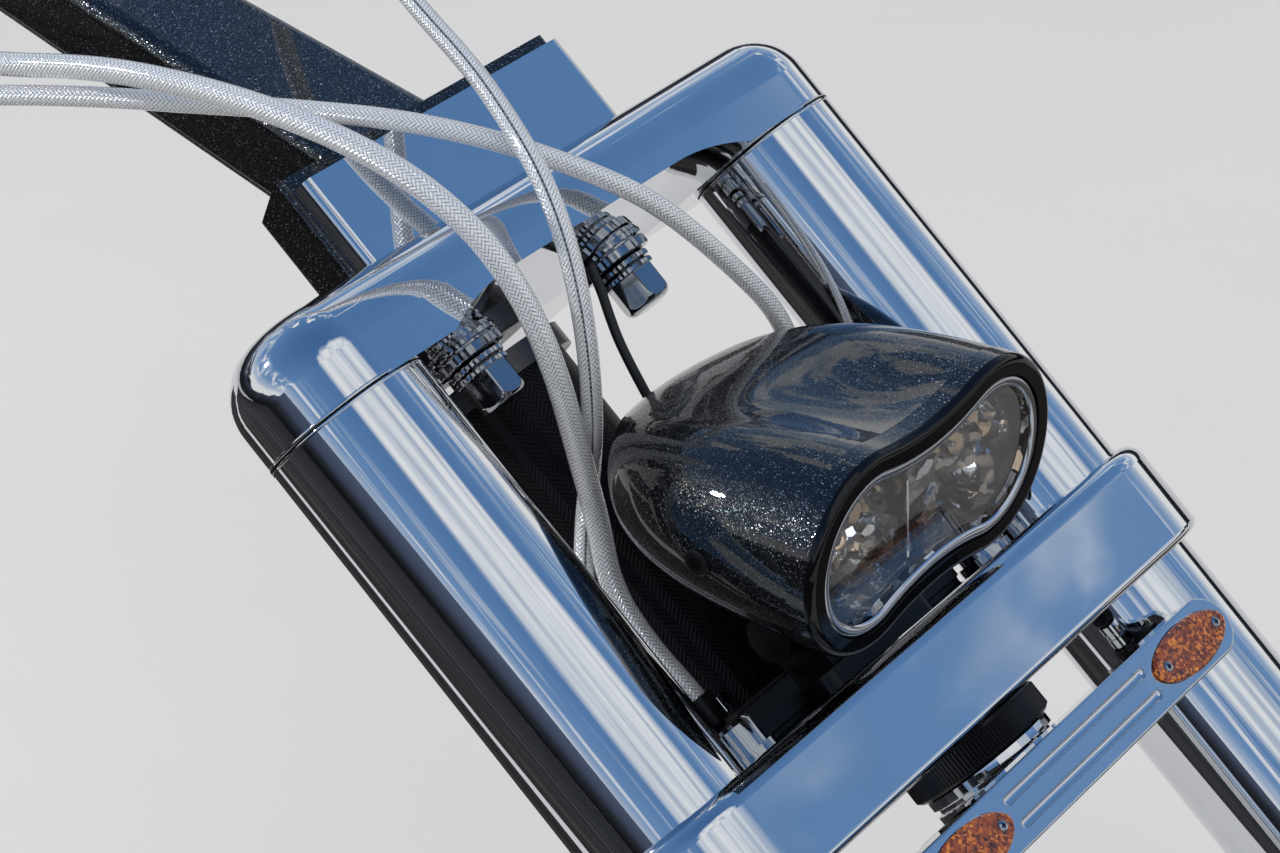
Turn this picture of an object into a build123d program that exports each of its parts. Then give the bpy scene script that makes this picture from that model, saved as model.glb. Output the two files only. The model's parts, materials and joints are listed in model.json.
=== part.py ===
"""Chopper front end: steering head, fork with two clamps, T-bar handlebar and twin-lobe headlamp.

Row frame: the bike faces -Y, +Z is up, its left hand is +X. The origin is the centre of the steering
head's rear face, where the frame's backbone is welded on.
Fork axes: x across, y backward, z up along the legs, from the legs' plane at the top seam.
"""
from build123d import *
import math
import os

os.makedirs("parts", exist_ok=True)

# Fork layout
RAKE = 48.0
LEG_SPACING = 250.0
TUBE_D = 66.5
TUBE_WALL = 4.0
TUBE_BOTTOM = -470.0
STEM_OFFSET = 78.0
LEG_FIT = 0.05
SEAT_GAP = 0.3

# Top clamp
TOP_CLAMP_H = 40.5
TOP_DOME_R = 24.0
TOP_BOSS_R = 38.0
ARCH_RISE = 8.5
ARCH_HALF = 88.0
ARCH_FLAT_HALF = 50.0
CLAMP_NECK_HALF = 52.0

# Lower clamp
LOWER_TOP = -184.0
LOWER_H = 43.0
LOWER_R = 41.5
LOWER_BOSS_R = 36.0
LOWER_TOP_EDGE_R = 8.0
LOWER_BOTTOM_EDGE_R = 3.5
CAP_BOLT_FROM_TUBE = 13.75
CAP_BOLT_D = 20.0
CAP_BOLT_H = 12.0

# Stem, bearings and steering head
STEM_D = 25.4
STEM_RUNNING_FIT = 0.05
STEM_NUT_AF = 36.0
STEM_NUT_H = 14.0
NECK_D = 64.0
NECK_BORE_D = 46.0
NECK_GAP = 5.0
CUP_D = 72.0
CUP_H = 10.0
CUP_SPIGOT = 12.0
STEER_LIMIT = 32.0
STOP_TAB_W = 14.0
STOP_TAB_OUT = 15.0
STOP_TAB_H = 17.0
STOP_PIN_D = 10.0
STOP_PIN_R = 42.0
STOP_FIT_DEG = 1.5
NECK_TO_FACE = 110.0
BACKBONE_W = 52.0
BACKBONE_H = 76.0
BACKBONE_R = 14.0
BACKBONE_DROP = 17.0

# Legs below the tubes
STANCHION_STEP = 8.25
STANCHION_WALL = 3.5
STANCHION_TOP = -420.0
SEAL_H = 16.0
SEAL_LIP_STEP = 4.25
AXLE_Z = -705.0
AXLE_D = 25.0
LUG_D = 57.0
LUG_TOP = -640.0
LUG_EYE_D = 64.0
LUG_W = 62.0
AXLE_OVERHANG = 8.0
AXLE_HEAD_AF = 32.0
AXLE_HEAD_H = 10.0

# Riser bolts under the top clamp
RISER_BOLT_PITCH = 88.9
RISER_BOLT_Y = 23.0
RISER_BOLT_D = 12.0
DAMPER_D = 30.0
DAMPER_TOP = 6.0
DAMPER_DISC_H = 5.5
WASHER_D = 24.0
WASHER_H = 3.0
HEX_AF = 19.0
HEX_H = 14.0
HEX_ROUND = 1.13
HEX_DOME = 4.5

# T-bar handlebar
RISER_W = 154.0
RISER_TOP = 88.5
RISER_FRONT = 8.0
RISER_EDGE = 4.0
RISER_CORNER_R = 3.0
RISER_BACK = 32.0
RISER_BACK_TOP = 83.0
PEDESTAL_W = 68.0
PEDESTAL_BACK = 64.0
PEDESTAL_STEP = (47.0, 59.0)
PLATE_W = 148.0
PLATE_TOP = 82.0
PLATE_FRONT = -1.0
PLATE_EDGE_R = 4.0
BEAM_START = (53.0, 91.7)
BEAM_END = (166.0, 315.0)
BEAM_BASE_W = 63.0
BEAM_BASE_DEPTH = 40.0
BEAM_END_W = 46.0
BEAM_END_DEPTH = 34.0
BEAM_CORNER_R = 7.0
BEAM_ROOT = 20.0
BAR_D = 31.75
BAR_FIT = 0.05
BAR_EYE_D = 48.0
BAR_FLAT_HALF = 110.0
BAR_HALF_W = 390.0
BAR_PULLBACK = 150.0
BAR_DROP = 10.0
BAR_BEND_R = 90.0
BAR_WALL = 2.5
GRIP_L = 125.0
GRIP_D = 36.0
GRIP_FLANGE_D = 44.0
GRIP_FLANGE_H = 5.0
HOUSING_D = 46.0
HOUSING_W = 24.0
HOUSING_GAP = 2.0
PORT_D = 14.0
PORT_L = 30.0
PORT_DROP = 31.0
PERCH_W = 24.0
PERCH_D = 46.0
CYLINDER_D = 24.0
CYLINDER_L = 78.0
CYLINDER_FORWARD = 36.0
LEVER_L = 165.0
LEVER_W = 14.0
LEVER_T = 9.0
LEVER_CLEAR = 46.0
LEVER_STEP = 12.0
LEVER_KNEE = 40.0
LEVER_KNEE_R = 60.0

# Headlamp, in level axes from the middle of its lens
LAMP_CENTRE = (-75.0, -152.5)
LENS_LOBE_X = 38.0
LENS_LOBE_R = 31.5
LENS_WAIST = 26.2
LENS_T = 5.0
LENS_FIT = 0.3
RIM_LOBE_X = 38.5
RIM_LOBE_R = 39.0
RIM_WAIST = 34.5
RIM_T = 11.0
RIM_PROUD = 3.0
RIM_EDGE_R = 3.5
POD_SECTIONS = (
    # depth behind the lens face, across to the lobes' centres, lobe radius, half height at the waist, drop
    (8.0, 38.5, 38.8, 34.3, 0.0),
    (24.0, 38.8, 38.0, 32.0, 0.2),
    (42.0, 39.0, 36.6, 31.4, 0.6),
    (60.0, 38.8, 34.4, 31.7, 1.2),
    (78.0, 37.4, 31.2, 31.0, 2.0),
    (94.0, 34.2, 27.0, 28.0, 3.0),
    (108.0, 28.5, 21.8, 23.4, 4.0),
    (119.0, 20.4, 16.2, 17.8, 5.0),
    (126.0, 13.0, 10.8, 11.9, 5.6),
    (130.0, 6.5, 6.0, 6.6, 6.0),
    (131.5, 3.2, 3.0, 3.3, 6.2),
)
POD_WALL = 6.0
POD_CAVITY = 38.0
SIDE_SCREW = (48.0, -1.0)
SIDE_SCREW_D = 11.0
SIDE_SCREW_HALF = 76.0
BOWL_DEPTH = 25.0
BOWL_LEAD = 3.0
FLANGE_W = 3.5
FLANGE_BEVEL = 2.0
RIB_X = -11.5
RIB_T = 1.5
RIB_H = 38.0
RIB_PROUD = 3.0
BULB_D = 11.0
BULB_L = 18.0
PIVOT = (12.8, -155.5)
PIVOT_D = 10.0
FOOT_W = 20.0
FOOT_EYE_D = 24.0
EAR_T = 8.0
PIVOT_HEAD_D = 20.0
PIVOT_HEAD_H = 7.0
BRACKET_BASE_W = 68.0
BRACKET_BASE_L = 44.0
BRACKET_BASE_T = 6.0

# Light bar under the lower clamp
KNOB_Y = -13.0
KNOB_D = 62.0
KNOB_H = 12.0
COLLAR_D = 56.0
COLLAR_H = 12.0
POST_D = 16.0
LIGHT_BAR_L = 204.0
LIGHT_BAR_H = 24.5
LIGHT_BAR_T = 12.0
LIGHT_BAR_Z = -256.0
LIGHT_BAR_FRONT = -58.5
GROOVE_W = 4.0
GROOVE_DEPTH = 1.5
GROOVE_HALF = 48.0
GROOVE_OFFSET = 5.0
AMBER_X = 74.5
AMBER_L = 48.0
AMBER_H = 19.0
AMBER_DEEP = 5.0
AMBER_PROUD = 2.0
BRACKET_ARM_T = 5.0
BRACKET_ARM_HALF = 84.0
BRACKET_ARM_H = 18.0

# Braided lines, points in fork axes: the stretch in front of the clamps, then on to the hand controls
BLOCK_X = 54.5
BLOCK_Y = 44.0
BLOCK_SIZE = (33.0, 20.0, 16.0)
BLOCK_INSET = 2.0
FITTING_L = 12.0
FITTING_WALL = 1.5
CYLINDER_RUN = 42.0
PORT_RUN = 45.0

TUBE_R = TUBE_D / 2
LEG_X = LEG_SPACING / 2
LOWER_BOTTOM = LOWER_TOP - LOWER_H
RISER_BOLT_X = RISER_BOLT_PITCH / 2
STEM_R = STEM_D / 2
CAP_BOLT_X = LEG_X - TUBE_R - CAP_BOLT_FROM_TUBE
STANCHION_D = TUBE_D - 2 * STANCHION_STEP
SEAL_LIP_D = TUBE_D - 2 * SEAL_LIP_STEP
NECK_TOP = -NECK_GAP
NECK_BOTTOM = LOWER_TOP + NECK_GAP
NECK_MID = (NECK_TOP + NECK_BOTTOM) / 2

RAKE_SIN = math.sin(math.radians(RAKE))
RAKE_COS = math.cos(math.radians(RAKE))
SEAM_Y = -NECK_TO_FACE - (STEM_OFFSET * RAKE_COS + NECK_MID * RAKE_SIN)
SEAM_Z = BACKBONE_DROP - (-STEM_OFFSET * RAKE_SIN + NECK_MID * RAKE_COS)
FORK = Pos(0, SEAM_Y, SEAM_Z) * Rot(-RAKE, 0, 0)
LOOKING_FORWARD = Rot(90, 0, 0)


def level(y, z):
    """Location of a fork point (y, z), with axes level in the row frame."""
    return Pos(0, SEAM_Y + y * RAKE_COS + z * RAKE_SIN, SEAM_Z - y * RAKE_SIN + z * RAKE_COS)


def save(name, shape):
    export_step(shape, f"parts/{name}.step")


def both_sides(name, shape):
    """Write a piece made for the +X side, and its mirror image."""
    save(name + "_left", shape)
    save(name + "_right", mirror(shape, about=Plane.YZ))


def rod(diameter, low, high, x=0.0, y=0.0):
    """Upright cylinder between two heights."""
    return Pos(x, y, (low + high) / 2) * Cylinder(diameter / 2, high - low)


def cross_rod(diameter, low, high, y=0.0, z=0.0):
    """Cylinder along X between two places across."""
    return Pos((low + high) / 2, y, z) * Rot(0, 90, 0) * Cylinder(diameter / 2, high - low)


def hexagon(flats, low, high, x=0.0, y=0.0):
    """Upright hexagon bar between two heights."""
    face = RegularPolygon(flats / 2, 6, major_radius=False)
    return Pos(x, y, low) * extrude(face, high - low)


def box_between(x, y, z):
    """Box from its low and high bound on each axis."""
    size = [high - low for low, high in (x, y, z)]
    middle = [(high + low) / 2 for low, high in (x, y, z)]
    return Pos(*middle) * Box(*size)


def front_prism(face, front, back):
    """Prism of a face that looks forward, between two depths along Y."""
    return Pos(0, back, 0) * LOOKING_FORWARD * extrude(face, back - front)


def side_prism(corners, width):
    """Prism across X of a profile given as (y, z) corners."""
    face = Pos(-width / 2, 0, 0) * Rot(0, 90, 0) * Rot(0, 0, 90) * make_face(Polyline(*corners, close=True))
    return extrude(face, width)


def peanut(lobe_x, lobe_r, waist):
    """Face of two round lobes that one arc each side joins over the waist, hollow or bulging."""
    blend_r = (lobe_x**2 + waist**2 - lobe_r**2) / (2 * (lobe_r - waist))
    reach = lobe_r + blend_r
    tx = lobe_x - lobe_r * lobe_x / reach
    ty = lobe_r * (waist + blend_r) / reach
    end = lobe_x + lobe_r
    arcs = [
        ThreePointArc((tx, ty), (0, waist), (-tx, ty)),
        ThreePointArc((-tx, ty), (-end, 0), (-tx, -ty)),
        ThreePointArc((-tx, -ty), (0, -waist), (tx, -ty)),
        ThreePointArc((tx, -ty), (end, 0), (tx, ty)),
    ]
    return make_face(arcs)


def clamp_plan(end_r, boss_r):
    """Plan of a clamp: a bar with round ends over the legs, and a boss back to the stem."""
    bar = SlotCenterToCenter(LEG_SPACING, 2 * end_r)
    corners = [(-CLAMP_NECK_HALF, 0, end_r), (CLAMP_NECK_HALF, 0, end_r), (0, STEM_OFFSET, boss_r)]
    rounds = [(Pos(x, y) * Circle(r)).edges() for x, y, r in corners]
    boss = make_hull([edge for edges in rounds for edge in edges])
    return bar + boss


# Steering head: the fixed body
def steering_head():
    tube = rod(NECK_D, NECK_BOTTOM + CUP_H, NECK_TOP - CUP_H, y=STEM_OFFSET)
    tab = box_between(
        (-STOP_TAB_W / 2, STOP_TAB_W / 2),
        (STEM_OFFSET - NECK_D / 2 - STOP_TAB_OUT, STEM_OFFSET),
        (NECK_BOTTOM + CUP_H, NECK_BOTTOM + CUP_H + STOP_TAB_H),
    )
    bore = rod(NECK_BORE_D, NECK_BOTTOM, NECK_TOP, y=STEM_OFFSET)
    return FORK * (tube + tab - bore)


def backbone_stub():
    beam = front_prism(RectangleRounded(BACKBONE_W, BACKBONE_H, BACKBONE_R), -NECK_TO_FACE, 0)
    neck = FORK * rod(NECK_D, NECK_BOTTOM, NECK_TOP, y=STEM_OFFSET)
    front = FORK * box_between(
        (-BACKBONE_W, BACKBONE_W), (STEM_OFFSET - BACKBONE_H * 2, STEM_OFFSET), (LOWER_TOP * 2, -LOWER_TOP)
    )
    return beam - front - neck


def bearing_cup(z_flange, z_inner):
    """Cup with its flange against the tube's end and its spigot pressed inside."""
    low, high = sorted((z_flange, z_inner))
    flange = rod(CUP_D, low, high, y=STEM_OFFSET)
    inward = math.copysign(CUP_SPIGOT, z_inner - z_flange)
    spigot_low, spigot_high = sorted((z_inner, z_inner + inward))
    spigot = rod(NECK_BORE_D, spigot_low, spigot_high, y=STEM_OFFSET)
    bore = rod(STEM_D + 2 * STEM_RUNNING_FIT, LOWER_TOP, 0, y=STEM_OFFSET)
    return FORK * (flange + spigot - bore)


# Fork
def top_clamp():
    body = extrude(clamp_plan(TUBE_R, TOP_BOSS_R), TOP_CLAMP_H)
    rim = body.faces().sort_by(Axis.Z)[-1].edges()
    body = fillet(rim, TOP_DOME_R)
    reach = ARCH_HALF - ARCH_FLAT_HALF
    sag = ARCH_RISE * (1 - 0.5**2)
    profile = make_face(
        [
            ThreePointArc((-ARCH_HALF, 0), (-ARCH_HALF + reach / 2, sag), (-ARCH_FLAT_HALF, ARCH_RISE)),
            Line((-ARCH_FLAT_HALF, ARCH_RISE), (ARCH_FLAT_HALF, ARCH_RISE)),
            ThreePointArc((ARCH_FLAT_HALF, ARCH_RISE), (ARCH_HALF - reach / 2, sag), (ARCH_HALF, 0)),
            Line((ARCH_HALF, 0), (-ARCH_HALF, 0)),
        ]
    )
    slope = math.degrees(math.atan(ARCH_RISE / TUBE_D))
    arch = Pos(0, TUBE_R, 0) * Rot(-slope, 0, 0) * Pos(0, 0, -ARCH_RISE) * LOOKING_FORWARD
    body -= arch * extrude(profile, 2 * TUBE_D)
    for x in (-RISER_BOLT_X, RISER_BOLT_X):
        body -= rod(DAMPER_D + 2 * SEAT_GAP, -ARCH_RISE, DAMPER_TOP, x=x, y=RISER_BOLT_Y)
        body -= rod(RISER_BOLT_D + 2 * LEG_FIT, -ARCH_RISE, TOP_CLAMP_H * 2, x=x, y=RISER_BOLT_Y)
    body -= rod(STEM_D + 2 * LEG_FIT, -ARCH_RISE, TOP_CLAMP_H * 2, y=STEM_OFFSET)
    return FORK * body


def lower_clamp():
    body = Pos(0, 0, LOWER_BOTTOM) * extrude(clamp_plan(LOWER_R, LOWER_BOSS_R), LOWER_H)
    body = fillet(body.faces().sort_by(Axis.Z)[-1].edges(), LOWER_TOP_EDGE_R)
    body = fillet(body.faces().sort_by(Axis.Z)[0].edges(), LOWER_BOTTOM_EDGE_R)
    for x in (-LEG_X, LEG_X):
        body -= rod(TUBE_D + 2 * LEG_FIT, LOWER_BOTTOM, LOWER_TOP, x=x)
    body -= rod(STEM_D + 2 * LEG_FIT, LOWER_BOTTOM, LOWER_TOP, y=STEM_OFFSET)
    tab_half = math.degrees(math.asin(STOP_TAB_W / 2 / STOP_PIN_R))
    pin_half = math.degrees(math.asin(STOP_PIN_D / 2 / STOP_PIN_R))
    angle = math.radians(STEER_LIMIT + tab_half + pin_half + STOP_FIT_DEG)
    for side in (-1, 1):
        x = side * STOP_PIN_R * math.sin(angle)
        y = STEM_OFFSET - STOP_PIN_R * math.cos(angle)
        body += rod(STOP_PIN_D, LOWER_TOP - CUP_H, NECK_BOTTOM + CUP_H + STOP_TAB_H / 2, x=x, y=y)
    return FORK * body


def steering_stem():
    return FORK * rod(STEM_D, LOWER_BOTTOM, TOP_CLAMP_H + STEM_NUT_H, y=STEM_OFFSET)


def stem_nut():
    nut = hexagon(STEM_NUT_AF, TOP_CLAMP_H, TOP_CLAMP_H + STEM_NUT_H, y=STEM_OFFSET)
    nut = chamfer(nut.faces().sort_by(Axis.Z)[-1].edges(), 2)
    return FORK * (nut - rod(STEM_D + 2 * LEG_FIT, 0, TOP_CLAMP_H * 2, y=STEM_OFFSET))


def upper_tube():
    tube = rod(TUBE_D, TUBE_BOTTOM, 0, x=LEG_X)
    return FORK * (tube - rod(TUBE_D - 2 * TUBE_WALL, TUBE_BOTTOM, 0, x=LEG_X))


def seal_ring():
    """Seal that closes the tube round the stanchion: a plug inside and a lip below."""
    plug = rod(TUBE_D - 2 * TUBE_WALL, TUBE_BOTTOM, TUBE_BOTTOM + SEAL_H, x=LEG_X)
    lip = rod(SEAL_LIP_D, TUBE_BOTTOM - SEAL_H / 2, TUBE_BOTTOM, x=LEG_X)
    lip = chamfer(lip.faces().sort_by(Axis.Z)[0].edges(), 2)
    return FORK * (plug + lip - rod(STANCHION_D, AXLE_Z, 0, x=LEG_X))


def stanchion():
    outer = rod(STANCHION_D, LUG_TOP, STANCHION_TOP, x=LEG_X)
    return FORK * (outer - rod(STANCHION_D - 2 * STANCHION_WALL, LUG_TOP, STANCHION_TOP, x=LEG_X))


def axle_lug():
    shank = rod(LUG_D, AXLE_Z, LUG_TOP, x=LEG_X)
    shank = fillet(shank.faces().sort_by(Axis.Z)[-1].edges(), 5)
    eye = cross_rod(LUG_EYE_D, LEG_X - LUG_W / 2, LEG_X + LUG_W / 2, z=AXLE_Z)
    bore = cross_rod(AXLE_D + 2 * LEG_FIT, 0, LEG_SPACING, z=AXLE_Z)
    return FORK * (shank + eye - bore)


def axle():
    half = LEG_X + LUG_W / 2
    shaft = cross_rod(AXLE_D, -half - AXLE_OVERHANG, half, z=AXLE_Z)
    head = Pos(half, 0, AXLE_Z) * Rot(0, 90, 0) * extrude(
        RegularPolygon(AXLE_HEAD_AF / 2, 6, major_radius=False), AXLE_HEAD_H
    )
    return FORK * (shaft + head)


def axle_nut():
    low = -(LEG_X + LUG_W / 2)
    nut = Pos(low, 0, AXLE_Z) * Rot(0, -90, 0) * extrude(
        RegularPolygon(AXLE_HEAD_AF / 2, 6, major_radius=False), AXLE_HEAD_H
    )
    return FORK * (nut - cross_rod(AXLE_D + 2 * LEG_FIT, 2 * low, low / 2, z=AXLE_Z))


def riser_damper():
    """Two stacked discs and two washers on the riser bolt."""
    z = DAMPER_TOP
    stack = rod(DAMPER_D, z - DAMPER_DISC_H, z, x=RISER_BOLT_X, y=RISER_BOLT_Y)
    z -= DAMPER_DISC_H
    stack += rod(DAMPER_D, z - DAMPER_DISC_H, z - 1, x=RISER_BOLT_X, y=RISER_BOLT_Y)
    stack += rod(DAMPER_D - 4, z - 1, z, x=RISER_BOLT_X, y=RISER_BOLT_Y)
    z -= DAMPER_DISC_H
    stack += rod(WASHER_D, z - 2 * WASHER_H, z, x=RISER_BOLT_X, y=RISER_BOLT_Y)
    return FORK * (stack - rod(RISER_BOLT_D, 3 * z, -3 * z, x=RISER_BOLT_X, y=RISER_BOLT_Y))


def riser_bolt():
    top = DAMPER_TOP - 2 * DAMPER_DISC_H - 2 * WASHER_H
    head = hexagon(HEX_AF, top - HEX_H, top, x=RISER_BOLT_X, y=RISER_BOLT_Y)
    dome = rod(HEX_AF * HEX_ROUND, top - HEX_H, top, x=RISER_BOLT_X, y=RISER_BOLT_Y)
    head &= fillet(dome.faces().sort_by(Axis.Z)[0].edges(), HEX_DOME)
    shank = rod(RISER_BOLT_D, top, TOP_CLAMP_H, x=RISER_BOLT_X, y=RISER_BOLT_Y)
    return FORK * (head + shank)


def clamp_cap_bolt():
    flange = rod(CAP_BOLT_D + 4, LOWER_TOP, LOWER_TOP + 2, x=CAP_BOLT_X)
    cap = rod(CAP_BOLT_D, LOWER_TOP + 2, LOWER_TOP + 2 + CAP_BOLT_H, x=CAP_BOLT_X)
    cap = chamfer(cap.faces().sort_by(Axis.Z)[-1].edges(), 1.5)
    return FORK * (flange + cap)


# T-bar handlebar
def beam_point(t):
    """Point of the riser beam's middle line, in fork axes, at t mm from its start."""
    dy, dz = BEAM_END[0] - BEAM_START[0], BEAM_END[1] - BEAM_START[1]
    length = math.hypot(dy, dz)
    return BEAM_START[0] + dy * t / length, BEAM_START[1] + dz * t / length


def beam_plane(t):
    dy, dz = BEAM_END[0] - BEAM_START[0], BEAM_END[1] - BEAM_START[1]
    return Plane(origin=(0, *beam_point(t)), x_dir=(1, 0, 0), z_dir=(0, dy, dz))


def handlebar_riser():
    step_y, step_z = PEDESTAL_STEP
    profile = [
        (RISER_FRONT, TOP_CLAMP_H), (RISER_BACK, TOP_CLAMP_H), (RISER_BACK, RISER_BACK_TOP),
        (RISER_FRONT + RISER_EDGE, RISER_TOP), (RISER_FRONT, RISER_TOP),
    ]
    pedestal = [
        (RISER_FRONT, TOP_CLAMP_H), (step_y, TOP_CLAMP_H), (step_y, step_z), (PEDESTAL_BACK, step_z),
        (PEDESTAL_BACK, step_z + RISER_EDGE), (RISER_BACK, RISER_TOP), (RISER_FRONT, RISER_TOP),
    ]
    block = fillet(side_prism(profile, RISER_W).edges().filter_by(Axis.Z), RISER_CORNER_R)
    block += side_prism(pedestal, PEDESTAL_W)
    length = math.dist(BEAM_START, BEAM_END)
    base = beam_plane(-BEAM_ROOT) * RectangleRounded(BEAM_BASE_W, BEAM_BASE_DEPTH, BEAM_CORNER_R)
    tip = beam_plane(length) * RectangleRounded(BEAM_END_W, BEAM_END_DEPTH, BEAM_CORNER_R)
    beam = loft([base, tip], ruled=True)
    eye = cross_rod(BAR_EYE_D, -BEAM_END_W / 2, BEAM_END_W / 2, y=BEAM_END[0], z=BEAM_END[1])
    bore = cross_rod(BAR_D + 2 * BAR_FIT, -BEAM_END_W, BEAM_END_W, y=BEAM_END[0], z=BEAM_END[1])
    return FORK * (block + beam + eye - bore)


def riser_plate():
    plate = box_between(
        (-PLATE_W / 2, PLATE_W / 2), (PLATE_FRONT, RISER_FRONT), (TOP_CLAMP_H, PLATE_TOP)
    )
    front = plate.faces().sort_by(Axis.Y)[0].edges().filter_by(Axis.Z)
    return FORK * fillet(front, PLATE_EDGE_R)


BAR_CENTRE = level(*BEAM_END)
ARM = Vector(BAR_HALF_W - BAR_FLAT_HALF, BAR_PULLBACK, -BAR_DROP)


def along_arm(from_end):
    """Place on the +X arm, with z along it outward, at a distance from its end."""
    end = Vector(BAR_HALF_W, BAR_PULLBACK, -BAR_DROP)
    point = end - ARM.normalized() * from_end
    return BAR_CENTRE * Plane(origin=point, x_dir=(0, 0, 1), z_dir=ARM).location


def handlebar():
    path = FilletPolyline(
        (-BAR_HALF_W, BAR_PULLBACK, -BAR_DROP),
        (-BAR_FLAT_HALF, 0, 0),
        (BAR_FLAT_HALF, 0, 0),
        (BAR_HALF_W, BAR_PULLBACK, -BAR_DROP),
        radius=BAR_BEND_R,
    )
    section = (path ^ 0) * Circle(BAR_D / 2)
    hollow = (path ^ 0) * Circle(BAR_D / 2 - BAR_WALL)
    return BAR_CENTRE * (sweep(section, path) - sweep(hollow, path))


def grip():
    """Rubber sleeve with a flange and a plugged outer end."""
    sleeve = Pos(0, 0, GRIP_L / 2) * Cylinder(GRIP_D / 2, GRIP_L)
    flange = Pos(0, 0, GRIP_FLANGE_H / 2) * Cylinder(GRIP_FLANGE_D / 2, GRIP_FLANGE_H)
    cap = Pos(0, 0, GRIP_L + GRIP_FLANGE_H / 2) * Cylinder(GRIP_D / 2, GRIP_FLANGE_H)
    bore = Pos(0, 0, GRIP_L / 2) * Cylinder(BAR_D / 2 + BAR_FIT, GRIP_L)
    body = sleeve + flange + fillet(cap.faces().sort_by(Axis.Z)[-1].edges(), 2) - bore
    return along_arm(GRIP_L) * body


HOUSING_PLACE = along_arm(GRIP_L + HOUSING_GAP + HOUSING_W / 2)
PERCH_PLACE = along_arm(GRIP_L + 2 * HOUSING_GAP + HOUSING_W + PERCH_W / 2)


def switch_housing():
    """Short barrel round the bar at the grip's inner end, with a port for a line under it."""
    barrel = Cylinder(HOUSING_D / 2, HOUSING_W)
    barrel = chamfer(barrel.edges().filter_by(GeomType.CIRCLE), 2)
    port = Pos(-PORT_DROP, 0, 0) * Cylinder(PORT_D / 2, PORT_L)
    neck = Pos(-PORT_DROP / 2 - BAR_D / 4, 0, 0) * Box(PORT_DROP - BAR_D / 2, PORT_D - 4, HOUSING_W - 8)
    return HOUSING_PLACE * (barrel + neck + port - Cylinder(BAR_D / 2 + BAR_FIT, HOUSING_W * 2))


def hand_control():
    """Perch round the bar with its fluid cylinder in front of it."""
    ring = Cylinder(PERCH_D / 2, PERCH_W)
    cylinder = Pos(0, CYLINDER_FORWARD, -CYLINDER_L / 4) * Cylinder(CYLINDER_D / 2, CYLINDER_L)
    web = Pos(0, CYLINDER_FORWARD / 2, 0) * Box(CYLINDER_D * 0.7, CYLINDER_FORWARD, PERCH_W)
    ear = Pos(0, CYLINDER_FORWARD, CYLINDER_L / 4 + 8) * Box(CYLINDER_D, CYLINDER_D, 16)
    slot = Pos(0, CYLINDER_FORWARD, CYLINDER_L / 4 + 10) * Box(LEVER_T + 2 * SEAT_GAP, CYLINDER_D, 14)
    bore = Cylinder(BAR_D / 2 + BAR_FIT, PERCH_W * 2)
    return PERCH_PLACE * (ring + cylinder + web + ear - slot - bore)


def lever():
    """Flat lever from the ear out in front of the grip, with a ball end."""
    start = CYLINDER_L / 4 + 10
    outline = FilletPolyline(
        (CYLINDER_FORWARD, start),
        (CYLINDER_FORWARD + LEVER_STEP, start + LEVER_KNEE),
        (LEVER_CLEAR, LEVER_L),
        radius=LEVER_KNEE_R,
    )
    blade = trace(outline, LEVER_W)
    blade = extrude(blade, LEVER_T / 2, both=True)
    ball = Pos(LEVER_CLEAR, LEVER_L) * Sphere(LEVER_W * 0.62)
    flat = Plane(origin=(0, 0, 0), x_dir=(0, 1, 0), z_dir=(1, 0, 0)).location
    return PERCH_PLACE * flat * (blade + ball)


# Headlamp
LAMP = level(*LAMP_CENTRE)


def headlamp_shell():
    start = RIM_T - RIM_PROUD
    sections = [
        Pos(0, depth, -drop) * LOOKING_FORWARD * peanut(lobe_x, lobe_r, waist)
        for depth, lobe_x, lobe_r, waist, drop in POD_SECTIONS
    ]
    pod = loft(sections)
    pivot_y = (PIVOT[0] - LAMP_CENTRE[0]) * RAKE_COS + (PIVOT[1] - LAMP_CENTRE[1]) * RAKE_SIN
    pivot_z = -(PIVOT[0] - LAMP_CENTRE[0]) * RAKE_SIN + (PIVOT[1] - LAMP_CENTRE[1]) * RAKE_COS
    eye = cross_rod(FOOT_EYE_D, -FOOT_W / 2, FOOT_W / 2, y=pivot_y, z=pivot_z)
    stalk = box_between(
        (-FOOT_W / 2, FOOT_W / 2), (pivot_y - FOOT_EYE_D / 2, pivot_y + FOOT_EYE_D / 2), (pivot_z, 0)
    )
    bore = cross_rod(PIVOT_D + 2 * STEM_RUNNING_FIT, -FOOT_W, FOOT_W, y=pivot_y, z=pivot_z)
    screw_y, screw_z = SIDE_SCREW
    screws = cross_rod(SIDE_SCREW_D, -SIDE_SCREW_HALF, SIDE_SCREW_HALF, y=screw_y, z=screw_z)
    cavity = front_prism(
        peanut(LENS_LOBE_X - 1, LENS_LOBE_R + 1, LENS_WAIST - POD_WALL), start, start + POD_CAVITY
    )
    return LAMP * (pod + eye + stalk + screws - bore - cavity)


def headlamp_rim():
    outer = front_prism(peanut(RIM_LOBE_X, RIM_LOBE_R, RIM_WAIST), -RIM_PROUD, RIM_T - RIM_PROUD)
    outer = fillet(outer.faces().sort_by(Axis.Y)[0].edges(), RIM_EDGE_R)
    inner = front_prism(peanut(LENS_LOBE_X, LENS_LOBE_R, LENS_WAIST), -2 * RIM_T, 2 * RIM_T)
    return LAMP * (outer - inner)


def headlamp_lens():
    face = peanut(LENS_LOBE_X, LENS_LOBE_R - LENS_FIT, LENS_WAIST - LENS_FIT)
    return LAMP * front_prism(face, -LENS_T / 4, LENS_T * 3 / 4)


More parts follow.
